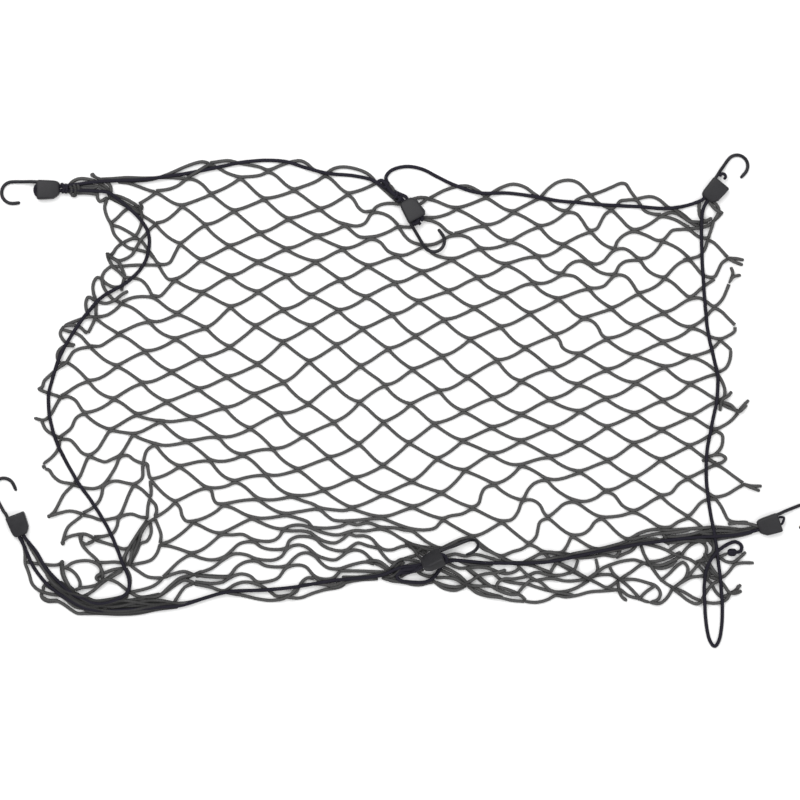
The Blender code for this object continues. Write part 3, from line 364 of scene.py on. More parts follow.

# strands laid one by one, lower ones first
UNDER = [
    [(405, 542.4), (413, 544.6), (420, 548.6), (427, 553)],
    [(408, 546), (414.5, 549.4), (420.5, 553), (427, 557)],
    [(416, 553.5), (419.5, 549.5), (425, 547.6), (431, 550.5)],
    [(87.5, 542.8), (91.5, 541.8), (95, 539.6), (98.5, 537.6), (102.5, 536.2)],
    [(186, 578.6), (190, 576.4), (194, 574.6), (198, 572.8), (202, 571)],
    # upper left corner
    [(66, 188), (69.5, 184.6), (73, 181), (79, 178.6), (88, 179), (97, 182),
     (106, 187), (110, 192)],
    [(100, 179), (112, 178.5), (126, 177.5), (145, 178), (165, 177.5),
     (178, 178), (187, 178.5)],
    [(118, 182), (128, 183), (140, 187), (148, 190), (156, 192)],
    [(64, 189), (72, 190), (82, 187), (95, 186), (104, 189), (110, 196)],
    [(66, 191.5), (78, 192), (90, 193), (97, 193.5), (97.3, 198),
     (99.5, 201.3), (103, 200), (107, 197)],
    [(92, 173), (95, 177), (101, 179.5), (107, 182), (111, 188), (110, 196),
     (108, 199)],
    [(110, 195), (118, 196), (128, 200), (138, 206)],
    [(110, 198), (122, 204), (135, 211), (145, 217), (156, 224)],
    [(142, 210), (140.5, 206)],
    [(111, 196.5), (121, 201), (131, 206.5), (140, 212)],
    [(114, 199), (124, 205), (134, 210.5), (142, 214)],
    [(76, 193.2), (84, 193), (92, 193.6), (98, 194.5)],
    [(78, 187.5), (86, 188.2), (94, 188), (98, 186)],
    # upper edge
    [(130, 181), (145, 180.5), (156, 178.5), (165, 175.5), (173, 172),
     (183, 167.5), (192, 164), (202, 161.5), (207, 162.6), (210, 164)],
    [(325, 175), (331, 169.8), (338, 167.2), (347, 167), (360, 170),
     (369, 174.5), (376, 182)],
    [(376, 182.5), (383, 188.8), (390, 195), (397, 201), (402, 204)],
    [(382, 182.5), (388, 188), (394, 193.5), (400, 199)],
    [(372, 212), (376, 207), (382, 204.2), (391, 203.2), (404, 205)],
    [(398, 226), (405, 227), (414, 227)],
    [(403, 202), (412, 199.3), (420, 197.3), (428.5, 198)],
    [(413, 209), (420, 204), (428.5, 198)],
    [(422, 217.5), (437, 217), (450, 213), (457.5, 208.5)],
    [(422, 219), (432, 221), (440, 224.5), (447, 231), (454.5, 234.5)],
    [(428, 199), (436, 194.5), (445, 190), (456, 186.7), (468, 186), (480, 192),
     (486, 197)],
    [(486, 197), (493, 192), (501, 187.5), (513, 184), (525, 187),
     (534, 193.5), (540, 197.5)],
    [(540, 197.5), (549, 188), (558, 182), (569, 180), (578, 182.5),
     (586, 190), (590.5, 195)],
    [(590.5, 195), (600, 192), (612, 187), (621, 183.2), (626, 184),
     (630.5, 191), (636.5, 199)],
    [(636.5, 199), (645, 197), (652, 196.6), (660, 200), (668, 207),
     (676, 210), (684, 215), (692, 222), (700, 226)],
    # upper right corner
    [(661, 215.5), (668, 213), (675, 213), (684, 218), (693, 224), (702, 228)],
    [(671, 207), (679, 213), (688, 221), (698, 222), (708, 222)],
    [(689, 228.5), (700, 228), (709, 225), (716, 219), (723, 212)],
    [(700, 200), (699, 208), (700, 216), (704, 221), (712, 218)],
    [(708, 199), (715, 203), (719, 210), (714, 221)],
    [(714, 220), (711, 230), (708, 239)],
    [(708, 239), (704.5, 250), (699, 256), (689, 259)],
    [(723, 213), (716, 210), (710, 203), (706, 199)],
    # right edge tails and double strands
    [(744, 260), (736, 258.5), (727.5, 258)],
    [(743, 265), (735, 262), (727.5, 258)],
    [(731, 267), (733, 273), (730, 282)],
    [(741, 275), (733, 277), (729, 283)],
    [(689, 259), (683, 259.5)],
    [(720, 340), (726, 345), (731.5, 350)],
    [(731, 350), (730, 360), (726, 368), (717, 373)],
    [(690.5, 356.5), (701, 354), (711, 350), (720, 341)],
    [(717, 373), (722, 381), (725, 390), (724, 397), (717.5, 401)],
    [(732, 391.5), (728, 396), (722, 400), (720, 411)],
    [(749, 400), (744, 405), (738, 412)],
    [(747, 405), (738, 412), (731, 405), (722, 402)],
    [(716, 431), (722, 434.5), (723, 440), (721, 448), (714, 455), (705, 457)],
    [(714, 455), (722, 455), (726, 458.5), (722, 462.5), (716, 464)],
    [(702, 461), (708, 459), (716, 464)],
    [(762, 486), (752, 486), (743, 484)],
    [(760, 491), (751, 487.5), (743, 484)],
    [(715, 498), (721, 506), (725, 514), (728, 519.5), (734, 522), (748, 522)],
    [(688.5, 518), (696, 522), (703, 528), (710, 531)],
    # left edge ruffle
    [(107, 199), (104.5, 207), (107, 217), (111, 224), (114, 234), (122, 243)],
    [(139, 206), (141.5, 213), (141.5, 222), (139, 230), (135, 237)],
    [(123, 244), (129, 248), (136, 249.5), (143, 251), (150, 254), (155, 259)],
    [(122, 243), (116, 248), (112, 254), (107, 256)],
    [(156, 224), (150, 229), (145, 235), (140, 241), (136, 248), (132.5, 254),
     (127, 258), (119, 260.5), (113, 258), (106, 253)],
    [(107, 255), (110, 262), (113, 266), (122, 266), (135, 265), (147, 265),
     (159, 265)],
    [(106.5, 254), (114, 259), (119, 262.5), (122, 269), (124.5, 276),
     (122.5, 284), (121.5, 291)],
    [(111, 266), (104, 272), (102, 279), (107, 284), (114, 287), (123, 286)],
    [(110, 265), (118, 271), (125, 277), (133, 278), (141, 280), (147, 286),
     (152.5, 296.5)],
    [(102, 279), (97, 277.4), (93, 284), (93.3, 293), (96, 301), (96, 308),
     (95.5, 318)],
    [(101.5, 279), (103.5, 287), (108, 294), (114, 300), (122, 303)],
    [(96, 301), (88, 297), (85.5, 304), (87, 312), (90, 318)],
    [(128, 291), (121, 295), (115, 300), (106, 303.3), (99, 302), (94, 299)],
    [(122, 303), (115, 310), (107, 315), (98, 316.8), (88, 317), (78, 320),
     (69, 323.5), (64, 326)],
    [(95.5, 317), (93, 323), (88, 333)],
    [(95, 318), (105, 325.5), (119, 334)],
    [(64, 326), (72, 325), (80, 327), (86, 333)],
    [(64, 326), (60, 333), (63.5, 340.5), (69, 344), (75, 344.5)],
    [(74, 346), (66, 345.5), (59, 350), (57, 357), (60, 363), (66, 362)],
    [(63, 330), (72, 332), (80, 335.5), (86, 342), (91, 347)],
    [(91, 347), (80, 348.5), (73, 352), (69, 358), (66, 363), (58, 368),
     (50, 375), (44, 381), (42, 387), (37.5, 389)],
    [(38, 389), (48, 393), (61, 397)],
    [(61, 397), (57, 403), (51, 414), (44, 420), (34, 418)],
    [(41, 419), (46, 430), (60, 438)],
    [(60, 440), (58, 449), (52, 457), (43, 464)],
    [(45, 469), (49, 470), (53, 476), (60, 481.5), (74, 484)],
    [(73, 485), (64, 494), (59, 503), (54, 512), (48, 517)],
    [(48, 516.5), (60, 513), (70, 511), (83, 514)],
    [(82, 516), (75, 521), (68, 527), (65, 533), (62, 544)],
    [(63.2, 541), (67, 537.6), (75, 535), (84, 534), (90, 536), (95, 539)],
    [(94, 541), (86, 544), (80.5, 541), (82, 535)],
    [(80.5, 541.5), (83, 546), (88, 552), (95, 558), (99.5, 564), (101, 571), (99, 578)],
    [(95, 540), (105, 543), (115, 546), (124, 549), (131, 546), (137, 536),
     (147, 520)],
    # steep fold
    [(150, 498), (148, 505), (147, 519)],
    [(147, 520), (135, 538), (125, 556), (125, 566)],
    [(150, 521), (151, 533), (147, 541), (140, 544), (137, 551), (130, 564)],
    [(155, 518), (147, 524), (141, 534), (138, 544)],
    [(140, 538), (137, 546), (134, 553), (129.5, 561), (126.5, 566)],
    [(136, 540), (133, 548), (131, 557), (129.5, 566)],
    [(131, 546), (126.5, 552), (123.5, 559), (123.5, 566)],
    [(160, 544), (157, 553), (151, 560), (131, 565)],
    [(160, 544), (170, 541), (182, 533), (194, 522)],
    [(131, 566), (138, 571), (148, 577), (163, 578)],
    [(94, 562), (106, 562.5), (114, 562), (122, 563)],
    [(26, 562), (32, 563), (40, 564), (50, 565), (57, 565), (63, 562)],
    [(62, 560.5), (61.3, 567), (62, 574), (65, 581), (70, 588.5)],
    [(62.5, 563), (63, 571), (65.5, 578.5), (69.5, 586), (75, 591)],
    [(60, 581.5), (66, 587), (72, 591.5), (79, 595)],
    [(61, 566.5), (66, 568), (71.5, 570.5), (77, 576), (80, 583), (79, 590)],
    [(123, 568), (112, 570), (104, 573), (98, 575), (96, 578), (99, 581)],
    [(123, 569), (110, 576), (103, 581), (96, 585), (88, 587), (80, 588),
     (75, 590)],
    [(122, 571), (108, 579), (101, 584), (94, 590), (86, 595), (78, 598)],
    [(61.5, 568.5), (66, 567), (72, 563), (80, 561), (90, 561), (97, 563.5), (101, 568),
     (103, 574), (102, 580)],
    [(126, 568), (130, 577), (129, 592)],
    [(98, 582), (107, 579), (116, 582), (129, 592)],
    [(129, 593), (118, 598), (108, 600), (92, 606)],
    [(129, 592), (140, 597), (160, 594)],
    [(131, 592), (145, 589), (155, 585), (163, 578)],
    [(66, 592), (78, 600), (100, 606), (130, 607), (160, 606), (190, 602),
     (222, 593), (245, 591), (290, 588)],
    [(43, 591), (41, 595), (43, 599), (48, 601.5), (58, 601.5), (63, 604),
     (70, 609), (77, 613.3), (84, 613.6), (100, 613.6), (120, 614.4),
     (138, 613.4), (160, 609), (178, 607)],
    [(42, 597), (48, 600), (58, 600)],
    [(20.5, 537), (22.5, 542), (24.6, 550), (25, 557), (25.5, 564), (28, 571),
     (29.8, 577), (31.5, 583), (36, 588.5), (42, 591.5), (50, 594),
     (58, 595.2), (66, 596.5), (76, 598)],
    [(26, 539), (31, 548.5), (35.5, 556), (40, 563.5), (44, 570),
     (50, 577.5), (57, 584), (64, 591)],
    [(43, 591), (43.5, 586.5), (47, 583.4), (52.5, 582.6), (58, 585.5),
     (64, 590), (71, 594.5)],
    [(45, 584.5), (50, 588), (56, 591), (63, 594.5), (72, 599)],
    [(51, 582.5), (57, 588), (64, 593.5), (73, 598.5)],
    [(60, 595.5), (66, 599), (71, 604), (76.5, 607.4), (86, 608.4), (100, 607.8)],
    [(70, 590), (79, 596.5), (91, 601.6), (106, 603.6), (124, 603.6),
     (142, 602.4), (158, 602.6), (170, 604)],
    [(66, 592), (75, 599), (88, 605), (104, 606.5), (124, 606), (144, 605.4),
     (162, 605), (178, 604.6)],
    [(80, 600), (92, 604.4), (106, 604.8), (120, 601.6), (134, 599.6),
     (148, 599)],
    [(72, 598), (82, 605), (95, 610.8), (112, 611.8), (130, 611.4),
     (150, 609.4), (172, 607)],
    [(84, 609.6), (100, 612.4), (118, 613.2), (136, 611.8), (152, 609.6)],
    [(86, 597), (95, 600.6), (105, 600), (116, 598), (126, 595.4)],
    [(76, 593), (84, 597.6), (95, 602.4), (108, 601.8), (120, 599.4)],
    [(128, 595), (123, 598.6), (114, 602), (104, 605.4)],
    [(163, 578), (173, 574), (184, 571.5), (196, 575), (212, 577), (229, 577)],
    [(173, 604), (178, 596), (185, 587), (195, 583)],
    [(150, 598.5), (160, 595.5), (168, 590.5), (176, 584.5), (185, 580),
     (195, 583)],
    [(140, 597), (158, 596), (170, 586), (180, 578), (194, 575)],
    [(224, 592), (245, 596), (258, 599), (272, 600.5), (285, 598), (293, 592),
     (298, 586)],
    # lower middle
    [(285, 597), (300, 598), (311, 594), (324, 590), (340, 587), (346, 583)],
    [(314, 577), (325, 584), (336, 587), (345, 583), (360, 580), (378, 579)],
    [(300, 585), (318, 584), (334, 585), (346, 580)],
    [(340, 571), (356, 571), (372, 571.5), (386, 572), (402, 571)],
    [(374, 563), (382, 566.5), (390, 572)],
    [(366, 561), (378, 561), (386, 566), (390, 570)],
    [(342, 577), (358, 577), (374, 575), (388, 573)],
    [(378, 548), (385, 557), (391, 562), (398, 562), (405, 558.5), (417, 555)],
    [(409, 544), (418, 545.5), (426, 549), (438, 551)],
    [(409, 544), (415, 551), (420, 558), (428, 564)],
    [(440, 549), (452, 543), (463, 538.5), (473, 537)],
    [(440, 550), (450, 545), (458, 541)],
    [(476, 541), (482, 548), (491, 552), (501, 557), (512, 562)],
    [(390, 569), (396, 562), (402, 559), (412, 560), (420, 562)],
    [(398, 575), (404, 570), (412, 566), (422, 565)],
    [(400, 577), (408, 573), (416, 571), (424, 570)],
    [(402, 568), (410, 564.5), (420, 564)],
    [(400, 562), (402, 566), (400, 572), (396, 577)],
    [(417.5, 572), (422, 574.5), (428, 576.3), (433, 575.8), (437, 573.5),
     (440.5, 570.5)],
    [(386, 578.6), (391, 580.8), (397, 581.6), (402, 580.6)],
    [(389, 576.4), (394, 578.8), (400, 580.4)],
    [(376, 576.5), (385, 574.5), (393, 570.5), (398, 565), (402, 561.5)],
    [(384, 577), (392, 576), (398, 572), (401.5, 566), (404, 562)],
    [(382, 578), (392, 580.5), (404, 582.5), (412, 584.5), (420, 585),
     (428, 583), (434, 582)],
    # lower right, outer meshes
    [(438, 556), (446, 556), (455, 554), (466, 556), (475, 554.5),
     (490, 558), (505, 562.5), (518, 564), (530, 565), (540, 568.5),
     (552, 573)],
    [(438, 560), (450, 559.5), (458, 560.5), (464, 563), (472, 565),
     (482, 565.8), (493, 564.5)],
    [(439, 563), (447, 563), (452, 565.5), (460, 568.3), (470, 567.5),
     (483, 567.3), (491, 569), (498, 572), (506, 573.6), (514, 572), (519, 568),
     (517, 562)],
    [(466, 568), (472, 573), (480, 580), (488, 586)],
    [(440, 570), (447, 573), (455, 577), (461, 580), (466, 583), (471, 581),
     (476, 577), (480, 575)],
    [(440, 566), (450, 570), (460, 576), (468, 583.5), (480, 590),
     (490, 594), (503, 597)],
    [(436, 578), (445, 577.5), (455, 579), (465, 584), (478, 586), (490, 586),
     (502, 588), (512, 591), (519, 594)],
    [(433, 580), (436, 583), (441, 587), (447, 589.5), (455, 590.5),
     (461, 588.5), (466, 586)],
    [(436, 582), (445, 585.5), (456, 587), (466, 585)],
    [(466, 567), (478, 576), (488, 584), (500, 591), (511, 594.5),
     (519, 594.5), (526, 600)],
    [(463, 584), (472, 580), (480, 575), (494, 573), (506, 570)],
    [(468, 586), (477, 593), (487, 596), (500, 597.5), (512, 600.5),
     (525, 601.5)],
    [(525, 601.5), (536, 602.5), (547, 600), (556, 595.5), (565, 597),
     (577, 595.5), (590, 592), (605, 591), (616, 590)],
    [(492, 572), (501, 579.5), (514, 583), (526, 584), (536, 587),
     (548, 590.5), (560, 592), (574, 589), (590, 580)],
    [(497, 591), (497, 584), (503, 579), (513, 579), (526, 576.5), (536, 572.5),
     (550, 575), (562, 575), (572, 572)],
    [(518, 593), (524, 586), (530, 581), (537, 580.5), (543, 584), (550, 590),
     (562, 593), (574, 595)],
    [(518, 566), (524, 572), (530, 577), (538, 581)],
    [(522, 563), (534, 557), (543, 552.5), (552, 552), (561, 554.5),
     (570, 556)],
    [(550, 573), (555, 565), (561, 560), (570, 556)],
    [(543, 552), (549, 558), (557, 563), (566, 568), (576, 573.5), (586, 578)],
    [(537, 580), (552, 578.5), (565, 581), (578, 580.5), (590, 577.5),
     (600, 575), (611, 575), (619, 579)],
    [(559, 563), (571, 568.5), (580, 574), (588, 578.5), (597, 583),
     (607, 587.5), (614, 584), (620, 579)],
    [(578, 560), (574.5, 569), (569, 574)],
    [(596, 559), (597.5, 570), (593, 576), (586, 578.5)],
    [(588, 578), (597, 572), (604, 567.5), (613, 564), (624, 561), (635, 560),
     (644, 563), (652, 566.5), (661, 568.5), (670, 566), (677, 560)],
    [(609, 565), (613, 573), (620, 579.5), (628, 586), (636, 594), (641, 599.5),
     (650, 602.5)],
    [(620, 579), (632, 571.5), (643, 563.5), (650, 562)],
    [(616, 558), (624, 554), (632, 550.5), (638, 543.5)],
    [(641, 545), (644, 554), (649, 563), (655, 572), (662, 580.5), (672, 587),
     (684, 592), (694, 598), (702, 601)],
    [(620, 580), (634, 579.5), (648, 583), (656, 586), (660.5, 593),
     (658, 599.5), (650, 602.5)],
    [(638, 600), (646, 592), (655, 586)],
    [(618, 582), (619, 590), (622, 597), (627, 601)],
    [(620, 589), (629, 596), (639, 598.5)],
    [(607, 587), (613, 589.5), (620, 590)],
    [(650, 602.5), (660, 603.5), (667, 598), (673, 588)],
    [(648, 562), (660, 560.5), (671, 556.5), (681, 552)],
    [(650, 565), (662, 565), (674, 560), (682, 556)],
    [(641, 543), (652, 545.5), (664, 549), (672, 553), (681, 556.5),
     (691, 560), (700, 567), (706, 575)],
    [(660, 581), (669, 574), (677, 566), (683.5, 562.5), (688, 568),
     (686, 577), (680, 583), (673, 588)],
    [(673, 588), (682, 582), (691, 577.5), (701, 576), (711, 573), (720, 578)],
    [(672, 588), (681, 595), (688, 600.5), (697, 604), (704, 600)],
    [(668, 551), (678, 545), (690, 540.5), (699, 541), (706, 546),
     (706, 553.5), (702, 560), (696, 567), (688, 577)],
    [(681, 556), (686, 549), (694, 543), (704, 540)],
    [(696, 562), (705, 558), (712, 553), (716, 546)],
    [(660, 530), (672, 530), (686, 529), (700, 528), (714, 527), (728, 528),
     (742, 529.5), (753, 528), (760, 527.5)],
    [(628, 540), (642, 537), (656, 534), (672, 532.5), (690, 530)],
    [(728, 524), (738, 523), (750, 524), (757, 526), (762, 528)],
    [(660, 540), (672, 537), (686, 536), (704, 533), (722, 531), (740, 530)],
    [(598, 551), (610, 548), (624, 545), (640, 541), (656, 539), (668, 543)],
    [(566, 556), (578, 558), (592, 557), (604, 555), (616, 556), (621, 549)],
    [(501, 558), (512, 562), (528, 562), (544, 560), (558, 557), (570, 556)],
    [(560, 558), (572, 554), (584, 551.6), (598, 549), (612, 545.6),
     (626, 541.5)],
    [(598, 553), (610, 551.5), (622, 548.5), (632, 545.5), (640, 543),
     (652, 541), (664, 541.5)],
    [(664, 536.5), (676, 536.5), (688, 535), (700, 532), (712, 531),
     (726, 530.8), (740, 532), (752, 531)],
    [(690, 538.5), (704, 540), (716, 539.5), (728, 537.5), (740, 535.5),
     (752, 532.5)],
    [(663, 534), (666, 539), (669, 545)],
    [(700, 533), (714, 534.5), (728, 534), (742, 531.5), (754, 530)],
    [(668, 543), (680, 541.5), (692, 541), (706, 542)],
    [(746, 552), (740, 557.5), (734, 562), (727, 562), (719, 557)],
    [(754, 563), (742, 563), (735, 564.5), (728, 573), (721, 577.5),
     (712, 572), (706, 566)],
    [(741, 584.5), (736, 590), (730, 593.5), (722, 597), (716, 592),
     (711, 583), (703, 576)],
    [(742, 591), (735, 593.5), (729, 592), (724, 585), (718, 579.5),
     (710, 577)],
    [(709, 541), (713, 546), (716, 552), (717.5, 558)],
    [(713, 539), (713.5, 546), (712.5, 552), (708, 557.5)],
    [(697, 561), (704, 560.4), (711, 557.6), (717, 555.6)],
    [(702, 562), (706.5, 568), (708, 575), (705, 582)],
    [(704, 553), (708.5, 562), (714, 571), (721, 578.5)],
    [(717, 558), (723, 555.4), (728.5, 553)],
    [(730, 594), (726, 600), (718, 603), (710, 603), (702, 600.5),
     (706, 593), (712, 584.5), (720, 580)],
]

# frayed or knotted ends: [(radius, [(right, down), ...])]
STUBS = [
    (2.4, [(91.6, 173.2), (93.2, 176.4)]),
    (2.1, [(140.6, 204.6), (142.4, 208.8)]),
    (2.2, [(84.4, 331.2), (87.4, 333.2)]),
    (2.0, [(107.4, 253.2), (110.4, 257)]),
    (2.5, [(60.4, 561.4), (63.6, 563.2)]),
    (2.4, [(80.6, 535), (80.8, 540.4)]),
    (2.2, [(61.8, 541.2), (63.6, 545)]),
    (2.1, [(47.4, 516.8), (50.4, 515.8)]),
    (2.4, [(733, 592.4), (739, 590.8)]),
    (2.0, [(737, 588.6), (739.6, 585.4)]),
    (2.1, [(43, 465), (44.5, 468.5)]),
    (2.0, [(622.4, 597.4), (626.4, 600.4)]),
]

# strands that lie on the border cord
OVER = [
    [(60, 590), (70, 597.5), (82, 604.5), (96, 609), (112, 611), (130, 610.4),
     (148, 607), (164, 604)],
    [(76, 595.5), (88, 601.5), (100, 605.6), (116, 606.6), (132, 603.6),
     (148, 600.6), (162, 600.6), (176, 603.0), (188, 602.6)],
    [(84, 607), (98, 606.4), (110, 602.6), (124, 600.5), (138, 602.4),
     (152, 604.6), (170, 603.6)],
    [(46, 574), (54, 583.5), (64, 590.4), (76, 594.4), (88, 597)],
    [(388.6, 184.5), (392, 187.5), (393.8, 191.5), (393.4, 195.5), (395.5, 199.5)],
    [(69.5, 185.5), (71.5, 188), (72, 191.5), (70.5, 194.6)],
    [(73.5, 184.5), (75.5, 188), (75.8, 192), (74.5, 195.6)],
    [(77.5, 184.5), (79, 188), (78.6, 191.5), (77.4, 194)],
    [(71, 195), (74, 195.8), (76.6, 195)],
    [(210, 164), (204, 167.5), (197, 172), (187, 178)],
]

# ------------------------------------------------------------ hooks and cords
BODY_OUTER = [
    (0.0, -4.6, 7.5, 0.0, 8.0),
    (2.5, -6.7, 8.8, 0.0, 8.6),
    (6.0, -8.9, 9.4, 0.0, 9.3),
    (14.0, -9.5, 9.7, 0.0, 10.4),
    (22.0, -9.8, 9.9, 0.0, 11.0),
]
BODY_INNER = [
    (22.0, -8.2, 8.3, 1.6, 9.4),
    (14.0, -7.9, 8.1, 1.6, 8.8),
    (7.0, -7.4, 7.7, 1.6, 7.8),
    (3.2, -3.2, 6.2, 1.6, 6.4),
    (0.0, -3.2, 6.2, 1.6, 6.4),
]
HOOKS = {
    # name: right, down, heading_right, heading_down, side, rest, reach, splay, roll
    "top_left": (37.5, 190.0, -1.00, 0.00, 1, 0.0, 25.3, 0.0, 0.0),
    "top_middle": (417.3, 219.2, 0.48, 0.88, 1, 4.5, 27.6, -2.5, 0.0),
    "top_right": (721.5, 183.0, 0.64, -0.77, -1, 0.0, 22.5, 4.0, 0.0),
    "bottom_left": (14.9, 514.4, -0.36, -0.93, -1, 0.0, 26.5, 8.5, 0.0),
    "bottom_middle": (444.5, 560.5, 0.91, -0.41, -1, 6.0, 26.5, 3.0, 48.0),
    "bottom_right": (779.5, 522.0, 0.95, -0.31, -1, 0.0, 23.7, 3.0, 0.0),
}
PORT_A = [
    (17.5, 0.9, 4.7), (14.0, 0.9, 4.7), (10.5, 1.1, 4.6), (8.0, 2.0, 4.4),
    (5.0, 3.4, 4.1), (2.0, 3.7, 4.0), (-3.0, 3.7, 4.0),
]
PORT_B = [
    (17.5, -4.7, 4.7), (14.0, -4.7, 4.7), (10.5, -4.4, 4.6), (8.0, -3.3, 4.4),
    (5.0, -1.3, 4.1), (2.0, -0.7, 4.0), (-3.0, -0.7, 4.0),
]
KNOT_R = 2.55
END_KNOT_R = 4.0
ROUTES = {
    "border_top_left": ("top_left", PORT_A, "top_middle", PORT_A, [
        (76, 184.5, 0), (90, 182.5, 0), (111, 181, 0), (140, 180, 0),
        (170, 176, 0), (200, 171, 0), (219, 167, 0), (238, 163, 0),
        (255, 160.8, 0), (267.6, 160.2, 0), (285.5, 161.6, 0),
        (309.7, 169, 0), (327.6, 173.4, 0), (353, 175.6, 0), (372, 180, 0),
        (385, 188, 0), (394, 194.5, 0)]),
    "border_top_right": ("top_middle", PORT_B, "top_right", PORT_A, [
        (394.6, 191.6, 0), (389.2, 185, 0), (385.6, 178, 0), (390.5, 170.8, 0),
        (405.5, 166.4, 0), (422, 169, 0), (437, 176.6, 0), (456.5, 186, 0),
        (479.5, 193, 0), (507.6, 193, 0), (533, 196.3, 0), (558.6, 200.8, 0),
        (580, 202.7, 0), (598, 204.6, 0), (636.5, 206.5, 0),
        (668.4, 208.4, 0), (687.6, 205.3, 0), (697, 202.2, 0)]),
    "border_right": ("top_right", PORT_B, None, None, [
        (703.5, 208, 0), (701.5, 220, 0), (701.6, 244.8, 0), (703.5, 283, 0),
        (705.4, 308.6, 0), (708.5, 335, 0), (714.6, 361, 0), (717.7, 376.5, 0),
        (716.9, 399.5, 0), (710.8, 430, 0), (706.5, 456, 0), (706.5, 480, 0),
        (708, 497, 0), (710.5, 513, 0.4), (713.5, 530, 1), (716, 545, 1),
        (718, 560, 1), (720.3, 580, 0), (722.4, 608, 0), (721.7, 626.6, 0),
        (719, 641, 0), (714.7, 647.0, 0), (710, 641, 0), (707.2, 630, 0),
        (704.9, 608.4, 0), (704.2, 585, 0), (706.5, 568, 1), (713, 556, 2.1),
        (723, 547, 2.1), (735.7, 541.8, 0.4), (742, 546, 0), (740.5, 551.6, 0),
        (736.2, 552.2, 0)]),
    "border_lower_right": ("bottom_right", PORT_B, "bottom_middle", PORT_B, [
        (745, 533, 0), (732, 535, 0), (720, 536, 0), (700, 537, 0),
        (678, 539, 0), (650, 542.5, 0), (636, 544.5, 0), (608, 549.4, 0),
        (580, 555.5, 0), (545.8, 562, 0), (520, 563, 0), (494.8, 563, 0),
        (484, 562.8, 0), (474, 561.8, 0), (464, 560.8, 0), (455, 560.2, 0),
        (447.5, 561.5, 0), (441.8, 565, 0), (438.6, 570.2, 0),
        (435.6, 575.4, 0), (430.6, 579.8, 0), (424, 582.2, 0),
        (415, 582.2, 0), (407.5, 581.6, 0), (401.5, 580.8, 0),
        (397.6, 578.8, 0), (396.4, 575.9, 0), (398.6, 573.4, 0),
        (403, 572.3, 0), (411, 571.8, 0)]),
    "border_lower_left": ("bottom_middle", PORT_A, "bottom_left", PORT_A, [
        (411, 566.0, 0), (403.5, 566.6, 0), (396, 568.9, 0),
        (388, 572.8, 0), (376.4, 576, 0),
        (334.3, 580.3, 0), (292, 587.3, 0), (264, 590, 0), (229, 591.5, 0),
        (208, 597, 0), (180, 605.6, 0), (165.8, 606.5, 0), (127.6, 609.6, 0),
        (100, 610.5, 0), (86, 608, 0), (74, 602.5, 0), (64, 596.5, 0),
        (55, 590.5, 0), (47, 584, 0), (40.5, 577, 0), (35, 569.5, 0),
        (31, 562, 0), (27.5, 554, 0), (24, 545, 0)]),
    "border_left": ("bottom_left", PORT_B, "top_left", PORT_B, [
        (31, 545, 0), (36.5, 552, 0), (45, 566.5, 0), (51, 574, 0),
        (58.5, 581.5, 0), (66, 588.5, 0), (74, 594.5, 0), (84, 599, 0),
        (92, 602.5, 0), (100, 603.6, 0), (109, 602.5, 0), (119, 598.5, 0),
        (126, 594, 0), (129.2, 588, 0),
        (128.8, 577.8, 0), (122.4, 562.4, 0), (111, 534.4, 0),
        (95.7, 507.6, 0), (76.5, 480, 0), (58.7, 446.7, 0), (50.4, 421, 0),
        (48.5, 395.7, 0), (53.6, 375.3, 0), (61.2, 353.6, 0), (79, 324, 0),
        (89, 311, 0), (102, 297, 0), (127.6, 281.8, 0), (144, 264, 0),
        (149, 248, 0), (148, 232, 0), (140, 219, 0), (130, 209, 0),
        (118, 199, 0), (108, 192.4, 0), (95, 191, 0), (78, 190.6, 0)]),
}


# -------------------------------------------------------------------- helpers
def world(points):
    """Layout points (n, 3) in mm to the frame in m."""
    p = np.asarray(points, float)
    return np.stack([(p[:, 0] - LAYOUT_RIGHT) * MM,
                     (LAYOUT_DOWN - p[:, 1]) * MM, p[:, 2] * MM], axis=1)


def hook_point(name, station, side, height):
    right, down, hx, hy, turn, rest, _, _, roll = HOOKS[name]
    size = math.hypot(hx, hy)
    hx, hy = hx / size, hy / size
    if roll:
        c, s = math.cos(math.radians(roll)), math.sin(math.radians(roll))
        off, up = side - WIRE_SIDE, height - WIRE_D / 2.0
        side = WIRE_SIDE + off * c + up * s
        height = WIRE_D / 2.0 - off * s + up * c
    along = station - BODY_LEN
    side *= turn
    return (right + along * hx - side * hy, down + along * hy + side * hx,
            rest + height)


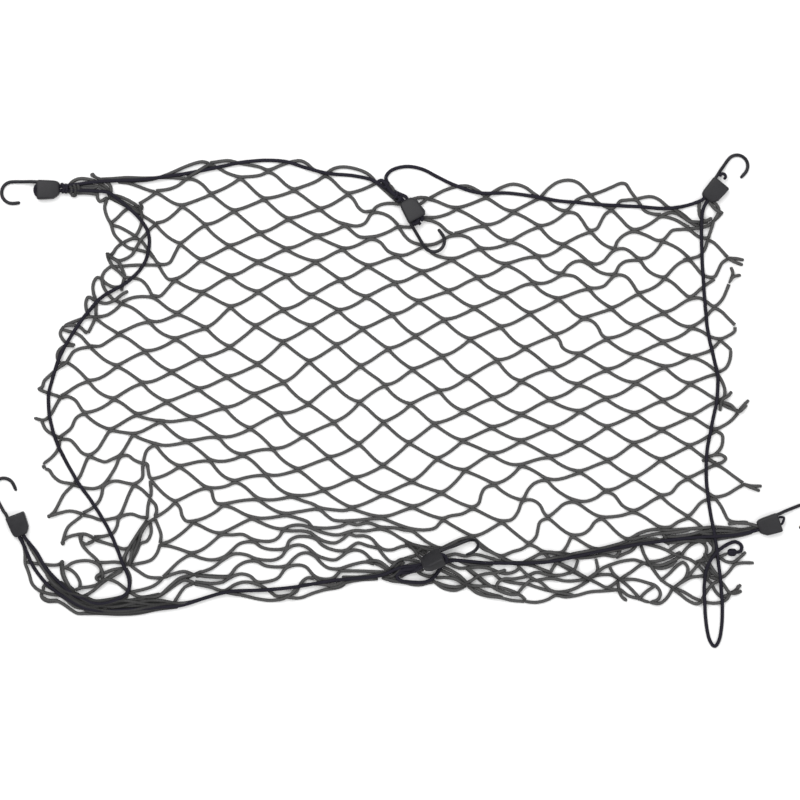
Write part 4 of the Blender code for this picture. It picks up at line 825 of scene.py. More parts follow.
def catmull(rows, step=0.7, marks=None):
    """Centripetal curve through rows, sampled about every step. marks, if
    given, is filled with the number of each row's own point."""
    p = np.asarray(rows, float)
    keep = [0]
    for i in range(1, len(p)):
        if np.linalg.norm(p[i] - p[keep[-1]]) > 1e-6:
            keep.append(i)
    p = p[keep]
    if len(p) == 1:
        return p
    p = np.vstack([2 * p[0] - p[1], p, 2 * p[-1] - p[-2]])
    out = []
    for a, b, c, d in zip(p, p[1:], p[2:], p[3:]):
        if marks is not None:
            marks.append(sum(len(part) for part in out))
        t0 = 0.0
        t1 = t0 + math.sqrt(np.linalg.norm(b - a))
        t2 = t1 + math.sqrt(np.linalg.norm(c - b))
        t3 = t2 + math.sqrt(np.linalg.norm(d - c))
        n = max(2, int(np.linalg.norm(c - b) / step))
        t = (t1 + (t2 - t1) * np.arange(n) / n)[:, None]
        a1 = (t1 - t) / (t1 - t0) * a + (t - t0) / (t1 - t0) * b
        a2 = (t2 - t) / (t2 - t1) * b + (t - t1) / (t2 - t1) * c
        a3 = (t3 - t) / (t3 - t2) * c + (t - t2) / (t3 - t2) * d
        b1 = (t2 - t) / (t2 - t0) * a1 + (t - t0) / (t2 - t0) * a2
        b2 = (t3 - t) / (t3 - t1) * a2 + (t - t1) / (t3 - t1) * a3
        out.append((t2 - t) / (t2 - t1) * b1 + (t - t1) / (t2 - t1) * b2)
    if marks is not None:
        marks.append(sum(len(part) for part in out))
    out.append(p[-2][None])
    return np.vstack(out)


def run_of(p):
    return np.concatenate([[0.0], np.cumsum(np.linalg.norm(np.diff(p, axis=0),
                                                           axis=1))])


def resample(p, step):
    run = run_of(p)
    n = max(2, int(round(run[-1] / step)) + 1)
    at = np.linspace(0.0, run[-1], n)
    return np.stack([np.interp(at, run, p[:, k]) for k in range(p.shape[1])],
                    axis=1)


def soften(values, times, hold_ends=True):
    v = np.array(values, float)
    for _ in range(times):
        w = v.copy()
        w[1:-1] = 0.25 * v[:-2] + 0.5 * v[1:-1] + 0.25 * v[2:]
        if not hold_ends:
            w[0], w[-1] = v[0], v[-1]
        v = w
    return v


# ------------------------------------------------------ how cords lie on cords
class Heap:
    """Upper surface of what lies on the table so far, on a half-millimetre
    grid."""

    STEP = 0.5

    def __init__(self):
        self.left, self.top = -20.0, 140.0
        self.wide, self.deep = 1680, 1060
        self.high = np.zeros((self.deep, self.wide))
        self.cords = np.zeros((self.deep, self.wide))
        self.offsets = {}

    def disk(self, radius):
        if radius not in self.offsets:
            n = int(radius / self.STEP)
            y, x = np.mgrid[-n:n + 1, -n:n + 1]
            d2 = (x * x + y * y) * self.STEP ** 2
            ok = d2 < radius * radius * 0.98
            self.offsets[radius] = (x[ok], y[ok],
                                    np.sqrt(radius * radius - d2[ok]))
        return self.offsets[radius]

    def cells(self, points, radius):
        x, y, cap = self.disk(radius)
        cx = np.rint((points[:, 0] - self.left) / self.STEP).astype(int)
        cy = np.rint((points[:, 1] - self.top) / self.STEP).astype(int)
        cx = np.clip(cx[:, None] + x[None], 0, self.wide - 1)
        cy = np.clip(cy[:, None] + y[None], 0, self.deep - 1)
        return cx, cy, cap

    def rest(self, points, radius):
        """Height of a cord's middle where it rests on the heap."""
        cx, cy, cap = self.cells(points, radius)
        h = self.high[cy, cx]
        touch = np.where(h > 0.0, h + cap[None], 0.0).max(axis=1)
        return np.maximum(radius, touch)

    def level(self, points):
        cx = np.clip(np.rint((points[:, 0] - self.left) / self.STEP).astype(int),
                     0, self.wide - 1)
        cy = np.clip(np.rint((points[:, 1] - self.top) / self.STEP).astype(int),
                     0, self.deep - 1)
        return self.high[cy, cx]

    def add(self, points, z, radius):
        cx, cy, cap = self.cells(points, radius)
        np.maximum.at(self.high, (cy, cx), z[:, None] + cap[None])
        cx, cy, _ = self.cells(points, 4.0)
        near = np.unique(cy.ravel() * self.wide + cx.ravel())
        self.cords.ravel()[near] += 1.0

    def crowd(self, points):
        """How many cords pass within a cord's width of each point."""
        cx, cy, _ = self.cells(points, 1.0)
        return self.cords[cy, cx].mean(axis=1)


heap = Heap()


def lay(points, radius, joints, squash=0.8, ease=7.0, slope=0.55, most=8.0,
        seat=True):
    """Heights of a cord laid over the heap. joints are distances along it at
    which it is joined to what is already there."""
    run = run_of(points)
    z = heap.rest(points, radius)
    z = radius + (z - radius) * squash
    if len(joints):
        near = np.min(np.abs(run[:, None] - np.asarray(joints)[None]), axis=1)
        w = np.clip(near / ease, 0.0, 1.0)
        w = w * w * (3 - 2 * w)
        under = np.maximum(radius, heap.level(points) - radius * 0.95)
        z = under * (1 - w) + z * w if seat else radius * (1 - w) + z * w
    step = np.diff(run)
    for i in range(1, len(z)):
        z[i] = max(z[i], z[i - 1] - slope * step[i - 1])
    for i in range(len(z) - 2, -1, -1):
        z[i] = max(z[i], z[i + 1] - slope * step[i])
    z = soften(z, 5)
    z = radius + most * (1.0 - np.exp(-(z - radius) / most))
    return np.maximum(z, radius)


# ------------------------------------------------------------------ mesh tubes
class Tubes:
    """Round cords gathered in one mesh, with U along each cord in metres and V
    round it."""

    def __init__(self, sides):
        self.sides = sides
        self.verts, self.faces, self.uvs = [], [], []
        self.middles = []
        self.count = 0
        self.length = 0.0

    def add(self, path, radius, turn=10.0, longest=3.4, shortest=1.0,
            cap_start=True, cap_end=True, flat=1.0):
        """path (n, 3) in mm, radius a number or (n,)."""
        path = np.asarray(path, float)
        radius = np.full(len(path), radius, float) if np.isscalar(radius) \
            else np.asarray(radius, float)
        run = run_of(path)
        kept, turned = [0], 0.0
        u = np.diff(path, axis=0)
        u /= np.maximum(np.linalg.norm(u, axis=1, keepdims=True), 1e-9)
        for i in range(1, len(path) - 1):
            turned += math.degrees(math.acos(
                max(-1.0, min(1.0, float(np.dot(u[i - 1], u[i]))))))
            gone = run[i] - run[kept[-1]]
            swell = abs(radius[i] - radius[kept[-1]]) > 0.18
            if gone > longest or (gone > shortest and (turned > turn or swell)):
                kept.append(i)
                turned = 0.0
        if run[-1] - run[kept[-1]] < 0.6 * shortest and len(kept) > 1:
            kept.pop()
        kept.append(len(path) - 1)
        p, r, s = path[kept], radius[kept], run[kept]
        self.length += run[-1]
        tangent = np.gradient(p, axis=0)
        tangent /= np.maximum(np.linalg.norm(tangent, axis=1, keepdims=True), 1e-9)
        side = np.cross(tangent, np.array([0.0, 0.0, 1.0]))
        side /= np.maximum(np.linalg.norm(side, axis=1, keepdims=True), 1e-9)
        up = np.cross(side, tangent)
        up *= np.sign(up[:, 2:3] + 1e-12)
        n = self.sides
        angle = 2 * math.pi * (np.arange(n) + 0.5) / n
        ring = (p[:, None] + r[:, None, None] *
                (np.cos(angle)[None, :, None] * side[:, None]
                 + flat * np.sin(angle)[None, :, None] * up[:, None]))
        base = self.count
        self.verts.append(ring.reshape(-1, 3))
        self.middles.append(p)
        rings = len(p)
        self.count += rings * n
        k = np.arange(rings - 1)[:, None]
        i = np.arange(n)[None]
        j = (i + 1) % n
        # layout "down" runs against the frame's Y, which turns the faces over
        quads = np.stack([base + k * n + i, base + (k + 1) * n + i,
                          base + (k + 1) * n + j, base + k * n + j], axis=-1)
        quads = quads[..., ::-1]
        self.faces.extend(quads.reshape(-1, 4).tolist())
        u0, u1 = s[:-1, None] * MM, s[1:, None] * MM
        v0, v1 = i / n, (i + 1) / n
        corner = np.stack([
            np.stack([np.broadcast_to(u0, (rings - 1, n)), np.broadcast_to(v0, (rings - 1, n))], -1),
            np.stack([np.broadcast_to(u1, (rings - 1, n)), np.broadcast_to(v0, (rings - 1, n))], -1),
            np.stack([np.broadcast_to(u1, (rings - 1, n)), np.broadcast_to(v1, (rings - 1, n))], -1),
            np.stack([np.broadcast_to(u0, (rings - 1, n)), np.broadcast_to(v1, (rings - 1, n))], -1),
        ], axis=2)[:, :, ::-1]
        self.uvs.append(corner.reshape(-1, 2))
        for cap, at, flip in ((cap_start, 0, False), (cap_end, rings - 1, True)):
            if cap:
                loop = [base + at * n + q for q in range(n)]
                if flip:
                    loop.reverse()
                self.faces.append(loop)
                self.uvs.append(np.array([[s[at] * MM, 0.0]] * n))
        return p, r

    def make(self, name, material, crowd_shaded=False):
        verts = world(np.vstack(self.verts))
        mesh = bpy.data.meshes.new(name)
        mesh.from_pydata(verts.tolist(), [], self.faces)
        layer = mesh.uv_layers.new(name="along")
        layer.data.foreach_set("uv", np.vstack(self.uvs).astype(np.float32).ravel())
        if crowd_shaded:
            # little light gets in among gathered cords
            shade = np.interp(heap.crowd(np.vstack(self.middles)),
                              (2.2, 3.5, 5.0, 7.0, 10.0),
                              (1.0, 0.78, 0.60, 0.47, 0.38))
            corner = np.zeros(len(mesh.loops), np.int32)
            mesh.loops.foreach_get("vertex_index", corner)
            shade = shade[corner // self.sides]
            layer = mesh.uv_layers.new(name="crowd")
            layer.data.foreach_set("uv", np.stack(
                [shade, np.full(len(shade), 0.5)], axis=1).astype(np.float32).ravel())
            mesh.uv_layers.active = mesh.uv_layers["along"]
            mesh.uv_layers["along"].active_render = True
        mesh.polygons.foreach_set("use_smooth", [True] * len(mesh.polygons))
        mesh.update()
        obj = bpy.data.objects.new(name, mesh)
        bpy.context.scene.collection.objects.link(obj)
        mesh.materials.append(material)
        return obj


# ------------------------------------------------------------------ materials
def nodes_of(name):
    mat = bpy.data.materials.new(name)
    mat.use_nodes = True
    tree = mat.node_tree
    return mat, tree, tree.nodes["Principled BSDF"]


def math_node(tree, operation, a, b=None):
    node = tree.nodes.new("ShaderNodeMath")
    node.operation = operation
    for socket, value in zip(node.inputs, (a, b)):
        if value is None:
            continue
        if isinstance(value, (int, float)):
            socket.default_value = value
        else:
            tree.links.new(value, socket)
    return node.outputs[0]


def braided_cord(name, dark, light, pitch, strands, rough, bump, sheen,
                 sides, edge, gloss, crowd_shaded=False):
    """Braided sheath: diamond ridges from two families of yarns that wind
    round the cord in opposite directions, with fuzz between them."""
    mat, tree, shader = nodes_of(name)
    coord = tree.nodes.new("ShaderNodeTexCoord")
    split = tree.nodes.new("ShaderNodeSeparateXYZ")
    tree.links.new(coord.outputs["UV"], split.inputs[0])
    along = math_node(tree, "MULTIPLY", split.outputs["X"], 2 * math.pi / pitch)
    about = math_node(tree, "MULTIPLY", split.outputs["Y"], 2 * math.pi * strands)
    one = math_node(tree, "SINE", math_node(tree, "ADD", along, about))
    two = math_node(tree, "SINE", math_node(tree, "SUBTRACT", along, about))
    weave = math_node(tree, "MULTIPLY", one, two)
    lift = math_node(tree, "MULTIPLY_ADD", weave, 0.5)
    lift.node.inputs[2].default_value = 0.5

    fuzz = tree.nodes.new("ShaderNodeTexNoise")
    fuzz.inputs["Scale"].default_value = 1500.0
    fuzz.inputs["Detail"].default_value = 3.0
    tree.links.new(coord.outputs["Object"], fuzz.inputs["Vector"])
    wear = tree.nodes.new("ShaderNodeTexNoise")
    wear.inputs["Scale"].default_value = 60.0
    wear.inputs["Detail"].default_value = 2.0
    tree.links.new(coord.outputs["Object"], wear.inputs["Vector"])

    # the colour is darker in the braid's valleys than on its ridges: painted shade in the recesses,
    # on top of the yarns' own pattern, fuzz and wear tone
    tone = math_node(tree, "MULTIPLY", lift, 0.55)
    tone = math_node(tree, "ADD", tone, math_node(
        tree, "MULTIPLY", fuzz.outputs["Fac"], 0.35))
    tone = math_node(tree, "ADD", tone, math_node(
        tree, "MULTIPLY", wear.outputs["Fac"], 0.25))
    ramp = tree.nodes.new("ShaderNodeValToRGB")
    ramp.color_ramp.elements[0].position = 0.18
    ramp.color_ramp.elements[0].color = (*dark, 1.0)
    ramp.color_ramp.elements[1].position = 0.92
    ramp.color_ramp.elements[1].color = (*light, 1.0)
    tree.links.new(tone, ramp.inputs["Fac"])
    # painted shade: the colour is left full on top and darkened down the sides and underneath, as
    # overhead light shades a round cord; edge is the share kept at the sides
    turn = math_node(tree, "ADD", math_node(
        tree, "MULTIPLY", split.outputs["Y"], 2 * math.pi), math.pi / sides)
    painted_side_shade = tree.nodes.new("ShaderNodeMapRange")
    painted_side_shade.interpolation_type = "SMOOTHSTEP"
    painted_side_shade.inputs["From Min"].default_value = 0.25
    painted_side_shade.inputs["From Max"].default_value = 0.98
    painted_side_shade.inputs["To Min"].default_value = edge
    painted_side_shade.inputs["To Max"].default_value = 1.0
    tree.links.new(math_node(tree, "SINE", turn), painted_side_shade.inputs["Value"])
    shaded = painted_side_shade.outputs["Result"]
    # painted shade among gathered cords: the colour is darkened further by the factor in the crowd
    # UV layer
    if crowd_shaded:
        crowd = tree.nodes.new("ShaderNodeUVMap")
        crowd.uv_map = "crowd"
        parts = tree.nodes.new("ShaderNodeSeparateXYZ")
        tree.links.new(crowd.outputs["UV"], parts.inputs[0])
        shaded = math_node(tree, "MULTIPLY", shaded, parts.outputs["X"])
    shade = tree.nodes.new("ShaderNodeMix")
    shade.data_type = "RGBA"
    shade.blend_type = "MULTIPLY"
    shade.inputs["Factor"].default_value = 1.0
    tree.links.new(ramp.outputs["Color"], shade.inputs["A"])
    tree.links.new(shaded, shade.inputs["B"])
    tree.links.new(shade.outputs["Result"], shader.inputs["Base Color"])

    height = math_node(tree, "ADD", lift, math_node(
        tree, "MULTIPLY", fuzz.outputs["Fac"], 0.4))
    node = tree.nodes.new("ShaderNodeBump")
    node.inputs["Strength"].default_value = bump
    node.inputs["Distance"].default_value = 0.00022
    tree.links.new(height, node.inputs["Height"])
    tree.links.new(node.outputs["Normal"], shader.inputs["Normal"])
    shader.inputs["Roughness"].default_value = rough
    shader.inputs["Specular IOR Level"].default_value = gloss
    shader.inputs["Sheen Weight"].default_value = sheen
    shader.inputs["Sheen Roughness"].default_value = 0.5
    return mat


def moulded_plastic(name, dark, light, rough):
    """Matt moulded plastic with a fine spark-eroded grain."""
    mat, tree, shader = nodes_of(name)
    coord = tree.nodes.new("ShaderNodeTexCoord")
    grain = tree.nodes.new("ShaderNodeTexNoise")
    grain.inputs["Scale"].default_value = 1100.0
    grain.inputs["Detail"].default_value = 2.0
    tree.links.new(coord.outputs["Object"], grain.inputs["Vector"])
    cloud = tree.nodes.new("ShaderNodeTexNoise")
    cloud.inputs["Scale"].default_value = 95.0
    cloud.inputs["Detail"].default_value = 3.0
    tree.links.new(coord.outputs["Object"], cloud.inputs["Vector"])
    tone = math_node(tree, "ADD", math_node(
        tree, "MULTIPLY", grain.outputs["Fac"], 0.45), math_node(
        tree, "MULTIPLY", cloud.outputs["Fac"], 0.55))
    ramp = tree.nodes.new("ShaderNodeValToRGB")
    ramp.color_ramp.elements[0].position = 0.3
    ramp.color_ramp.elements[0].color = (*dark, 1.0)
    ramp.color_ramp.elements[1].position = 0.72
    ramp.color_ramp.elements[1].color = (*light, 1.0)
    tree.links.new(tone, ramp.inputs["Fac"])
    tree.links.new(ramp.outputs["Color"], shader.inputs["Base Color"])
    gloss = tree.nodes.new("ShaderNodeMapRange")
    gloss.inputs["To Min"].default_value = rough - 0.08
    gloss.inputs["To Max"].default_value = rough + 0.1
    tree.links.new(cloud.outputs["Fac"], gloss.inputs["Value"])
    tree.links.new(gloss.outputs["Result"], shader.inputs["Roughness"])
    node = tree.nodes.new("ShaderNodeBump")
    node.inputs["Strength"].default_value = 0.35
    node.inputs["Distance"].default_value = 0.00012
    tree.links.new(grain.outputs["Fac"], node.inputs["Height"])
    tree.links.new(node.outputs["Normal"], shader.inputs["Normal"])
    shader.inputs["Specular IOR Level"].default_value = 0.3
    return mat


def dipped_coating(name, dark, light):
    """Vinyl-dipped wire: smooth, a little wavy, half gloss."""
    mat, tree, shader = nodes_of(name)
    coord = tree.nodes.new("ShaderNodeTexCoord")
    wave = tree.nodes.new("ShaderNodeTexNoise")
    wave.inputs["Scale"].default_value = 180.0
    wave.inputs["Detail"].default_value = 2.0
    tree.links.new(coord.outputs["Object"], wave.inputs["Vector"])
    ramp = tree.nodes.new("ShaderNodeValToRGB")
    ramp.color_ramp.elements[0].position = 0.3
    ramp.color_ramp.elements[0].color = (*dark, 1.0)
    ramp.color_ramp.elements[1].position = 0.75
    ramp.color_ramp.elements[1].color = (*light, 1.0)
    tree.links.new(wave.outputs["Fac"], ramp.inputs["Fac"])
    tree.links.new(ramp.outputs["Color"], shader.inputs["Base Color"])
    gloss = tree.nodes.new("ShaderNodeMapRange")
    gloss.inputs["To Min"].default_value = 0.28
    gloss.inputs["To Max"].default_value = 0.42
    tree.links.new(wave.outputs["Fac"], gloss.inputs["Value"])
    tree.links.new(gloss.outputs["Result"], shader.inputs["Roughness"])
    node = tree.nodes.new("ShaderNodeBump")
    node.inputs["Strength"].default_value = 0.2
    node.inputs["Distance"].default_value = 0.0002
    tree.links.new(wave.outputs["Fac"], node.inputs["Height"])
    tree.links.new(node.outputs["Normal"], shader.inputs["Normal"])
    shader.inputs["Specular IOR Level"].default_value = 0.26
    return mat


net_cord = braided_cord("braided_net_cord", (0.026, 0.026, 0.027),
                        (0.104, 0.103, 0.102), 0.0030, 4, 0.85, 0.5, 0.05,
                        8, 0.3, 0.15, crowd_shaded=True)
border_cord = braided_cord("braided_border_cord", (0.005, 0.005, 0.007),
                           (0.021, 0.019, 0.030), 0.0030, 4, 0.75, 0.5, 0.02,
                           10, 0.5, 0.11)
hook_plastic = moulded_plastic("moulded_hook_body", (0.0065, 0.0065, 0.0080),
                               (0.0190, 0.0183, 0.0215), 0.5)
hook_coating = dipped_coating("dipped_hook_wire", (0.0022, 0.0022, 0.0040),
                              (0.0085, 0.0080, 0.0130))

# --------------------------------------------------------------------- camera
CAMERA_HIGH = 3.0
cam_data = bpy.data.cameras.new("camera")
cam_data.sensor_width = 36.0
cam_data.lens = 36.0 * CAMERA_HIGH / 0.8
camera = bpy.data.objects.new("camera", cam_data)
camera.location = ((400.0 - LAYOUT_RIGHT) * MM, (LAYOUT_DOWN - 400.0) * MM,
                   CAMERA_HIGH + 0.003)
bpy.context.scene.collection.objects.link(camera)
bpy.context.scene.camera = camera
bpy.context.scene.view_settings.view_transform = "Standard"


# ------------------------------------------------------------------ the mesh
def joint(row, column):
    return ROWS.get(row, {}).get(column)


def turn_of(row, column):
    """How far a joint lies turned, in mm over a bar's length."""
    return float(np.interp(column, TURN_AT, TURNS.get(row, (0,) * 5)))


def bar_points(here, there):
    """Points of a bar after its first joint, or None where it is broken."""
    a = np.array(joint(*here), float)
    b = np.array(joint(*there), float)
    # a bar hangs under its upper joint and stands on its lower one
    rise = JOINT_HALF if there[0] < here[0] else -JOINT_HALF
    a = a - (0.0, rise)
    b = b + (0.0, rise)
    vias = VIAS.get((here[0], here[1], there[0]))
    if vias is not None:
        return a, [np.array(v, float) for v in vias], b
    chord = np.linalg.norm(b - a)
    if chord > 41.0:
        return None
    along = (b - a) / chord
    above = np.array([along[1], -along[0]])
    scale = min(1.0, chord / 26.0)
    flat = -FLAT if there[0] < here[0] else FLAT
    start = (turn_of(*here) + flat) * scale
    end = (turn_of(*there) + flat) * scale
    points = []
    for f in (0.25, 0.5, 0.75):
        off = (start * (f ** 3 - 2 * f * f + f) + end * (f ** 3 - f * f)
               - SAG * 4 * f * (1 - f))
        points.append(a + along * chord * f + above * off)
    return a, points, b


def lay_courses():
    """Each course runs to and fro between two rows of joints. Returns the
    curves and the distances along them at which they are joined."""
    out = []
    for row in range(min(ROWS) - 1, max(ROWS) + 1):
        upper, lower = ROWS.get(row, {}), ROWS.get(row + 1, {})
        line, joints = [], []

        def close():
            if len(joints) > 1:
                marks = []
                curve = catmull(line, marks=marks)
                run = run_of(curve)
                out.append((curve, [float(run[marks[j]]) for j in joints]))

        for column in sorted(set(upper) | set(lower)):
            here = (row, column) if column in upper else (row + 1, column)
            there = None
            for r in (row, row + 1):
                if r != here[0] and joint(r, column + 1):
                    there = (r, column + 1)
            bar = None
            if there and (here[0], column, there[0]) not in NO_BAR:
                bar = bar_points(here, there)
            if bar is None:
                close()
                line, joints = [], []
                continue
            a, points, b = bar
            if not line:
                line, joints = [a], [0]
            line = line + points + [b]
            joints = joints + [len(line) - 1]
        close()
    return out


net = Tubes(8)
course_number = 0
for piece, joints in lay_courses():
    run = run_of(piece)[-1]
    line = resample(piece, 0.7)
    line = np.stack([soften(line[:, 0], 3), soften(line[:, 1], 3)], axis=1)
    scale = run_of(line)[-1] / run
    marks = [j * scale for j in joints]
    z = lay(line, STRAND_R, marks)
    at = run_of(line)
    weave = np.zeros(len(at))
    swell = np.zeros(len(at))
    for k, mark in enumerate(marks):
        bump = np.exp(-((at - mark) / 4.0) ** 2)
        weave += bump * (0.55 if (k + course_number) % 2 else 0.0)
        swell += bump
    net.add(np.column_stack([line, z + weave]),
            STRAND_R * (1.0 + 0.05 * np.clip(swell, 0, 1)))
    heap.add(line, z, STRAND_R)
    course_number += 1


def lay_strand(rows, radius=STRAND_R, most=8.0):
    line = resample(catmull(rows), 0.7)
    line = np.stack([soften(line[:, 0], 2), soften(line[:, 1], 2)], axis=1)
    run = run_of(line)
    z = lay(line, radius, [0.0, run[-1]], most=most)
    left = np.minimum(run, run[-1] - run)
    thin = np.where(left < 0.3, 0.62, np.where(left < 1.1, 0.9, 1.0))
    net.add(np.column_stack([line, z]), radius * thin, shortest=0.6)
    heap.add(line, z, radius)


for rows in UNDER:
    lay_strand(rows)

# ----------------------------------------------------------------- the cords
def eased(path, radius):
    """The path without a kink where its stretches meet, and its radii."""
    run = run_of(path)
    at = np.linspace(0.0, run[-1], int(run[-1] / 0.7) + 1)
    path = np.stack([soften(np.interp(at, run, path[:, k]), 9)
                     for k in range(3)], axis=1)
    return path, np.interp(at, run, radius)


cords = {}
for name, (start, start_port, end, end_port, rows) in ROUTES.items():
    head = [hook_point(start, *p) for p in start_port]
    tail = [hook_point(end, *p) for p in end_port][::-1] if end else []
    middle = [head[-1][:2]] + [r[:2] for r in rows]
    if end:
        middle.append(tail[0][:2])
    line = resample(catmull(middle), 0.8)
    lifts = np.zeros(len(line))
    z = lay(line, BORDER_R, [], squash=0.85, most=9.0)
    run = run_of(line)
    w = np.clip(run / 12.0, 0.0, 1.0)
    w = w * w * (3 - 2 * w)
    z = head[-1][2] * (1 - w) + z * w
    if end:
        w = np.clip((run[-1] - run) / 12.0, 0.0, 1.0)
        w = w * w * (3 - 2 * w)
        z = tail[0][2] * (1 - w) + z * w
    heap.add(line, z, BORDER_R)
    path = np.column_stack([line, z])
    radius = np.full(len(path), BORDER_R)
    if start_port:
        inner = resample(catmull(head), 0.8)
        knot = np.array([KNOT_R if q < 6.5 else BORDER_R for q in run_of(inner)])
        path = np.vstack([inner[:-1], path])
        radius = np.concatenate([soften(knot, 3)[:-1], radius])
    if end:
        inner = resample(catmull(tail), 0.8)
        left = run_of(inner)[-1] - run_of(inner)
        knot = np.array([KNOT_R if q < 6.5 else BORDER_R for q in left])
        path = np.vstack([path, inner[1:]])
        radius = np.concatenate([radius, soften(knot, 3)[1:]])
    else:
        ahead = path[-1] - path[-4]
        ahead = ahead / np.linalg.norm(ahead)
        extra, grow = [], []
        for along, size, rise in ((0.8, 0.75, 0.3), (1.6, 0.9, 0.6),
                                  (3.0, 1.0, 1.0), (5.0, 1.0, 1.0),
                                  (7.0, 0.97, 1.0), (8.2, 0.8, 1.0),
                                  (8.8, 0.45, 1.0)):
            extra.append(path[-1] + ahead * along
                         + np.array([0, 0, (END_KNOT_R - BORDER_R) * rise]))
            grow.append(END_KNOT_R * size)
        path = np.vstack([path, extra])
        radius = np.concatenate([radius, grow])
    path, radius = eased(path, radius)
    tube = Tubes(10)
    tube.add(path, radius, turn=9.0, longest=4.0)
    piece = tube.make("cord" + name[6:], border_cord)
    cords[name] = (piece, world(path))
    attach(piece, "root")
    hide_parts(name)
    line_m = world(path)
    step = max(1, len(line_m) // 160)
    follow = [tuple(map(float, p)) for p in line_m[::step]]
    if follow[-1] != tuple(map(float, line_m[-1])):
        follow.append(tuple(map(float, line_m[-1])))

for rows in OVER:
    lay_strand(rows)
for thick, rows in STUBS:
    lay_strand(rows, radius=thick)

net_piece = net.make("net_mesh", net_cord, crowd_shaded=True)
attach(net_piece, "root")
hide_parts("net")
print("mesh cord length mm", round(net.length), "triangles",
      sum(len(f) - 2 for f in net.faces))


# -------------------------------------------------------------------- hooks
def rounded(station, low, high, bottom, top, corner, steps):
    points = []
    for cy, cz, start in ((high - corner, top - corner, 0.0),
                          (low + corner, top - corner, 90.0),
                          (low + corner, bottom + corner, 180.0),
                          (high - corner, bottom + corner, 270.0)):
        for step in range(steps + 1):
            angle = math.radians(start + 90.0 * step / steps)
            points.append((station, cy + corner * math.cos(angle),
                           cz + corner * math.sin(angle)))
    return points


def between(table, station):
    table = sorted(table)
    stations = [row[0] for row in table]
    return tuple(float(np.interp(station, stations, [row[k] for row in table]))
                 for k in range(1, 5))


def make_body(name):
    rings = []
    corners = []
    outer_stations = [0.0, 0.5, 1.2, 2.5, 4.0, 6.0, 8.5, 11.5, 14.5, 17.5,
                      20.0, 20.8, 21.4, 21.8]
    for s in outer_stations:
        low, high, bottom, top = between(BODY_OUTER, s)
        inset = 0.0
        if s < 1.2:
            inset = 0.55 * (1.0 - s / 1.2) ** 2
        if s > 20.0:
            inset = 0.75 * ((s - 20.0) / 2.0) ** 2.2
        rings.append((s, low + inset, high - inset, bottom + inset,
                      top - inset))
        corners.append(2.3)
    rings.append((22.0, -8.8, 8.9, 1.0, 10.0))
    corners.append(1.7)
    for s in (21.7, 20.0, 14.0, 9.0, 7.0, 5.0, 3.2, 1.5, 0.2):
        low, high, bottom, top = between(BODY_INNER, s)
        rings.append((s, low, high, bottom, top))
        corners.append(1.1)
    steps = 5
    verts, faces = [], []
    size = 4 * (steps + 1)
    for row, corner in zip(rings, corners):
        verts += [hook_point(name, *p) for p in rounded(*row, corner, steps)]
    total = len(rings)
    for k in range(total):
        a, b = k * size, ((k + 1) % total) * size
        for i in range(size):
            j = (i + 1) % size
            face = [a + i, a + j, b + j, b + i]
            if HOOKS[name][4] > 0:
                face.reverse()
            faces.append(face)
    mesh = bpy.data.meshes.new("body_" + name)
    mesh.from_pydata(world(np.array(verts)).tolist(), [], faces)
    mesh.validate()
    mesh.polygons.foreach_set("use_smooth", [True] * len(mesh.polygons))
    mesh.set_sharp_from_angle(angle=math.radians(40))
    obj = bpy.data.objects.new("body_" + name, mesh)
    bpy.context.scene.collection.objects.link(obj)
    mesh.materials.append(hook_plastic)
    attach(obj, "root")
    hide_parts("hook_body_" + name)
    return obj


def make_wire(name):
    rest, reach, splay, roll = HOOKS[name][5:9]
    low = WIRE_D / 2.0
    if rest and not roll:
        low += NET_THICK + GAP - rest
    high = 5.5
    path = [(11.0, 7.0, high), (16.0, 7.6, high), (BODY_LEN, 7.9, high),
            (BODY_LEN + 3.5, 8.1, high - 0.3)]
    c, s = math.cos(math.radians(splay)), math.sin(math.radians(splay))
    twist = math.radians(8.0 if roll else 0.0)
    tip = WIRE_TIP - (2.0 if roll else 0.0)

    def beyond(along, across, height):
        height -= across * math.sin(twist)
        across *= math.cos(twist)
        return (BODY_LEN + along * c - across * s,
                WIRE_SIDE + along * s + across * c, height)

    drop = high - low
    path.append(beyond(7.0, 0.0, high - drop * 0.25))
    path.append(beyond(14.0, 0.0, high - drop * 0.62))
    path.append(beyond(reach, 0.0, low + drop * 0.06))
    for step in range(1, 13):
        angle = math.radians(90.0 - 15.0 * step)
        path.append(beyond(reach + WIRE_BEND_R * math.cos(angle),
                           WIRE_BEND_R * (math.sin(angle) - 1.0), low))
    path.append(beyond(reach - tip * 0.5, -2.0 * WIRE_BEND_R + 0.3, low))
    path.append(beyond(reach - tip, -2.0 * WIRE_BEND_R + 0.9, low))
    line = catmull([hook_point(name, *p) for p in path], 0.6)
    radius = np.full(len(line), WIRE_D / 2.0)
    run = run_of(line)
    left = run[-1] - run
    tip = left < WIRE_D / 2.0
    radius[tip] = np.sqrt(np.maximum(
        (WIRE_D / 2.0) ** 2 - (WIRE_D / 2.0 - left[tip]) ** 2, 0.05))
    tube = Tubes(14)
    tube.add(line, radius, turn=7.0, longest=3.0, shortest=0.35)
    obj = tube.make("wire_" + name, hook_coating)
    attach(obj, "root")
    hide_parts("hook_wire_" + name)
    return obj


for hook in HOOKS:
    make_body(hook)
    make_wire(hook)

